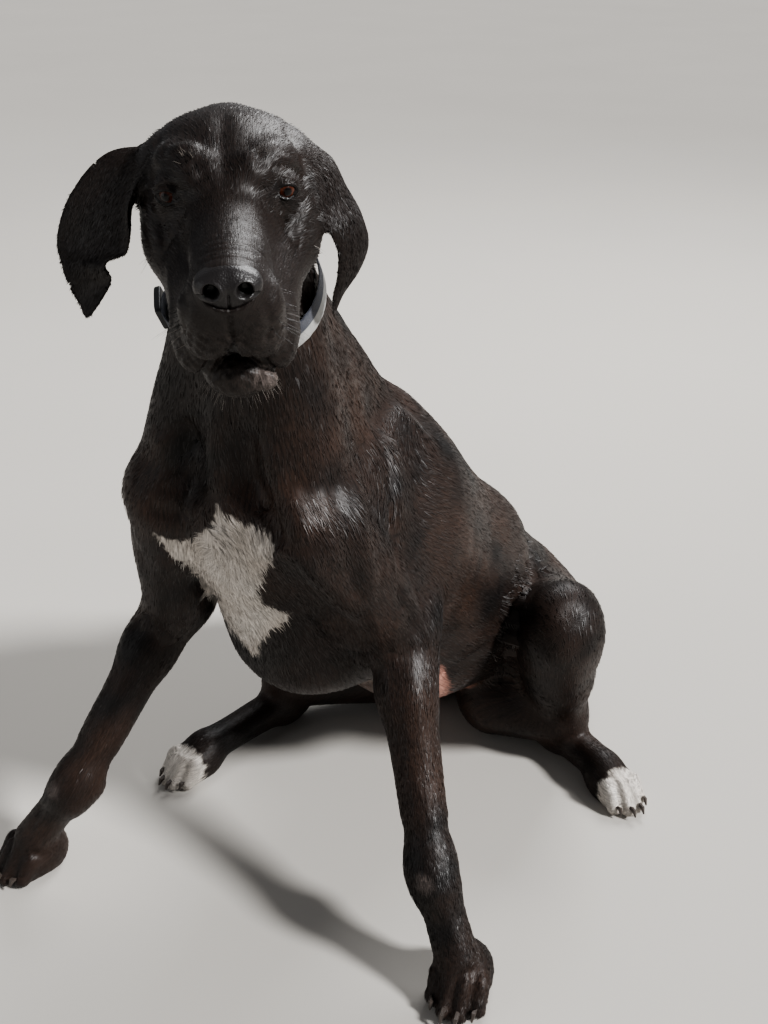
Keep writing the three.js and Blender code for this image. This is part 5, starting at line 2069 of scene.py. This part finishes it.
def build_buckle():
    """Buckle: a curved body with a raised lid and a rib along each edge."""
    place, along, across, out = on_collar(330, 2.5)
    ways = (along, across, out)
    grids = [
        rounded_box(place + out * 0.4, ways, (18.5, 14.0, 3.6), 0.25, bend=0.8),
        rounded_box(place + out * 3.2 + along * 4, ways, (7.0, 9.0, 1.0), 0.3),
    ]
    for s in (1, -1):
        grids.append(rounded_box(place + across * s * 12.2 - along * 2, ways, (9.0, 1.8, 3.0), 0.4))
    return gathered((p, turned_out(p - p.mean(0), f)) for p, f in map(tube_mesh, grids))


def build_ring():
    """Ring of round wire under the throat: a small circle carried round a large one."""
    place, along, across, out = on_collar(90, 8)
    turn = circle(64)[:, None, None]
    small = circle(16)[None, :, None]
    spoke = np.cos(turn) * along + np.sin(turn) * out
    return ring_mesh(place + spoke * (13 + 1.9 * np.cos(small)) + across * 1.9 * np.sin(small))


# Operators
class DANE_OT_skin(bpy.types.Operator):
    """Make the skin that replaces the solids of flesh"""
    bl_idname = "dane.skin"
    bl_label = "Skin"

    def execute(self, context):
        mesh, points, tris, rim = build_skin(context.scene.dane_sizes)
        set_coordinates(mesh, to_frame(points))
        mesh.shade_smooth()
        normals = point_normals(points, tris)
        lie, chart = hair_lie(points, normals)
        marks = markings(points, normals)
        wet = np.maximum(lip_wetness(points), rim)
        a, b, c = (points[tris[:, k]] for k in range(3))
        face_chart = chart[tris].max(1)
        local = head_axes(points)
        density = 1 - 0.9 * np.maximum(marks["groin"], 0.6 * marks["belly"]) - 0.97 * wet
        length = hair_length(points, chart, local)
        near_nose = smooth(-norms(local - vec(0, 150, -12)), -30, -22)
        density = np.clip(density - near_nose, 0.0, 1) * np.clip(LONGEST_TUFT / length, 1, 3.2) ** 1.2
        ruffle = 1.2 * bell(norms(points - WHORL), 26)
        uv = unwrap(points, tris, face_chart)
        skin.update(points=points, tris=tris, normals=normals, lie=lie, chart=face_chart, marks=marks,
                    length=length, ruffle=ruffle, uv=uv,
                    area=norms(np.cross(b - a, c - a)) / 2,
                    density=density[tris].mean(1))
        set_uv(mesh, "OFBake", uv.reshape(-1, 2))
        for key, values in marks.items():
            set_values(mesh, key, values)
        set_values(mesh, "wet", wet)
        piece = new_piece("skin", mesh)
        finish_piece(piece, hide_material(context.scene.dane_colours), "coat", *FLESH)
        return {"FINISHED"}


class DANE_OT_coat(bpy.types.Operator):
    """Grow the short coat as joined meshes of tufts"""
    bl_idname = "dane.coat"
    bl_label = "Coat"

    def execute(self, context):
        material = hair_material(context.scene.dane_colours)
        share = context.scene.dane_sizes.tufts * 1.0
        for name, part, count, seed in COATS:
            rows = coat_rows(name, part)
            if not len(rows):
                raise RuntimeError("no skin for " + name)
            mesh = tuft_mesh(name, rows, int(count * share), seed)
            finish_piece(new_piece(name, mesh), material, "coat")
        return {"FINISHED"}


class DANE_OT_whiskers(bpy.types.Operator):
    """Add whiskers on muzzle, chin, cheeks and brows"""
    bl_idname = "dane.whiskers"
    bl_label = "Whiskers"

    def execute(self, context):
        roots, ways, lengths, radii, greys = build_whiskers()
        points, faces, each = hair_tubes(roots, ways, lengths, radii, 0.15, 32)
        mesh = fast_mesh("whiskers", to_frame(points), faces)
        mesh.shade_smooth()
        set_values(mesh, "grey", np.repeat(greys, each))
        finish_piece(new_piece("whiskers", mesh), whisker_material(), "coat")
        return {"FINISHED"}


class DANE_OT_eyes(bpy.types.Operator):
    """Make both eyeballs with iris, pupil and cornea"""
    bl_idname = "dane.eyes"
    bl_label = "Eyes"

    def execute(self, context):
        material = eye_material()
        for side, label in ((1, "left"), (-1, "right")):
            points, faces, ring, polar = build_eye(side, context.scene.dane_sizes.eye_radius)
            piece = add_piece("eyeball_" + label, points, faces)
            set_values(piece.data, "ring", ring)
            set_values(piece.data, "polar", polar)
            finish_piece(piece, material, "eye", "eye_" + label)
        return {"FINISHED"}


class DANE_OT_nose(bpy.types.Operator):
    """Make the nose leather with its nostrils"""
    bl_idname = "dane.nose"
    bl_label = "Nose"

    def execute(self, context):
        points, faces, dark = build_nose()
        piece = add_piece("nose_leather", points, faces)
        # the pit attribute carries the painted shade of the nostrils and slits
        set_values(piece.data, "pit", dark)
        finish_piece(piece, leather_material(context.scene.dane_colours), "nose_leather", "nose")
        return {"FINISHED"}


class DANE_OT_claws(bpy.types.Operator):
    """Give the claws their horn"""
    bl_idname = "dane.claws"
    bl_label = "Claws"

    def execute(self, context):
        material = horn_material()
        for name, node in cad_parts.items():
            if name.startswith("claw_"):
                node.data.materials.clear()
                node.data.materials.append(material)
        return {"FINISHED"}


class DANE_OT_collar(bpy.types.Operator):
    """Make the collar's strap, buckle and ring"""
    bl_idname = "dane.collar"
    bl_label = "Collar"

    def execute(self, context):
        grid, uv = build_strap(context.scene.dane_sizes.strap_width)
        points, quads = ring_mesh(grid)
        faces = turned_out(points, quads)
        mesh = new_mesh("strap", to_frame(points), faces)
        mesh.shade_smooth()
        corner = np.array(faces).ravel()
        flat = uv.reshape(-1, 2)[corner].reshape(-1, 4, 2)
        length = 2 * math.pi * COLLAR_ROLL
        jump = flat[:, :, 0].max(1) - flat[:, :, 0].min(1) > length / 2
        flat[jump, :, 0] = np.where(flat[jump, :, 0] < length / 2, flat[jump, :, 0] + length,
                                    flat[jump, :, 0])
        set_uv(mesh, "Weave", flat.reshape(-1, 2))
        finish_piece(new_piece("strap", mesh), webbing_material(), "webbing", "collar_strap")
        points, faces = build_buckle()
        mesh = new_mesh("buckle", to_frame(points), faces)
        mesh.shade_smooth()
        finish_piece(new_piece("buckle", mesh), moulded_material(), "buckle", "collar_buckle")
        piece = add_piece("ring", *build_ring())
        finish_piece(piece, plated_material(), "ring", "collar_ring")
        return {"FINISHED"}


class DANE_OT_stage(bpy.types.Operator):
    """Set the floor, the studio lights and the camera"""
    bl_idname = "dane.stage"
    bl_label = "Stage"

    def execute(self, context):
        half = 30.0
        corners = vec(-half, -half, 0, half, -half, 0, half, half, 0, -half, half, 0).reshape(4, 3)
        floor = new_piece("floor", new_mesh("floor", corners, [(0, 1, 2, 3)]))
        floor.data.materials.append(floor_material())
        world = bpy.data.worlds.new("studio")
        context.scene.world = world
        world.use_nodes = True
        world.node_tree.nodes["Background"].inputs[0].default_value = (*linear("#e8eaee"), 1)
        world.node_tree.nodes["Background"].inputs[1].default_value = 0.3
        for name, kind, place, aim, size, power in (
            ("key", "SUN", (2.5, 0.3, 2.6), (0.0, -0.15, 0.6), 0.16, 5.6),
            ("fill", "AREA", (-1.6, -3.2, 1.6), (0.0, 0.0, 0.5), 2.4, 18.0),
            ("rim", "AREA", (-0.4, 2.4, 3.0), (0.0, 0.0, 0.5), 1.6, 110.0),
        ):
            light = bpy.data.lights.new(name, kind)
            setattr(light, "angle" if kind == "SUN" else "size", size)
            light.energy = power
            lamp = bpy.data.objects.new(name, light)
            context.scene.collection.objects.link(lamp)
            lamp.location = place
            lamp.rotation_euler = (Vector(aim) - Vector(place)).to_track_quat("-Z", "Y").to_euler()
        data = bpy.data.cameras.new("camera")
        data.lens = LENS
        data.sensor_width = SENSOR
        camera = bpy.data.objects.new("camera", data)
        context.scene.collection.objects.link(camera)
        camera.location = CAMERA_PLACE
        camera.rotation_euler = CAMERA_TURN
        context.scene.camera = camera
        context.scene.view_settings.view_transform = "AgX"
        context.scene.view_settings.look = "AgX - Medium High Contrast"
        return {"FINISHED"}


OPERATORS = (DANE_OT_skin, DANE_OT_coat, DANE_OT_whiskers, DANE_OT_eyes, DANE_OT_nose, DANE_OT_claws,
             DANE_OT_collar, DANE_OT_stage)


class DANE_PT_panel(bpy.types.Panel):
    """Sizes, colours and steps of the Great Dane"""
    bl_label = "Great Dane"
    bl_idname = "DANE_PT_panel"
    bl_space_type = "VIEW_3D"
    bl_region_type = "UI"
    bl_category = "Great Dane"

    def draw(self, context):
        for group in (context.scene.dane_sizes, context.scene.dane_colours):
            for key in group.__annotations__:
                self.layout.prop(group, key)
        for operator in OPERATORS:
            self.layout.operator(operator.bl_idname)


CLASSES = (DaneSizes, DaneColours) + OPERATORS + (DANE_PT_panel,)


def register():
    for cls in CLASSES:
        bpy.utils.register_class(cls)
    bpy.types.Scene.dane_sizes = PointerProperty(type=DaneSizes)
    bpy.types.Scene.dane_colours = PointerProperty(type=DaneColours)


def unregister():
    del bpy.types.Scene.dane_colours
    del bpy.types.Scene.dane_sizes
    for cls in reversed(CLASSES):
        bpy.utils.unregister_class(cls)


def main():
    register()
    for step in ("skin", "coat", "whiskers", "eyes", "nose", "claws", "collar", "stage"):
        getattr(bpy.ops.dane, step)()


if __name__ == "__main__":
    main()
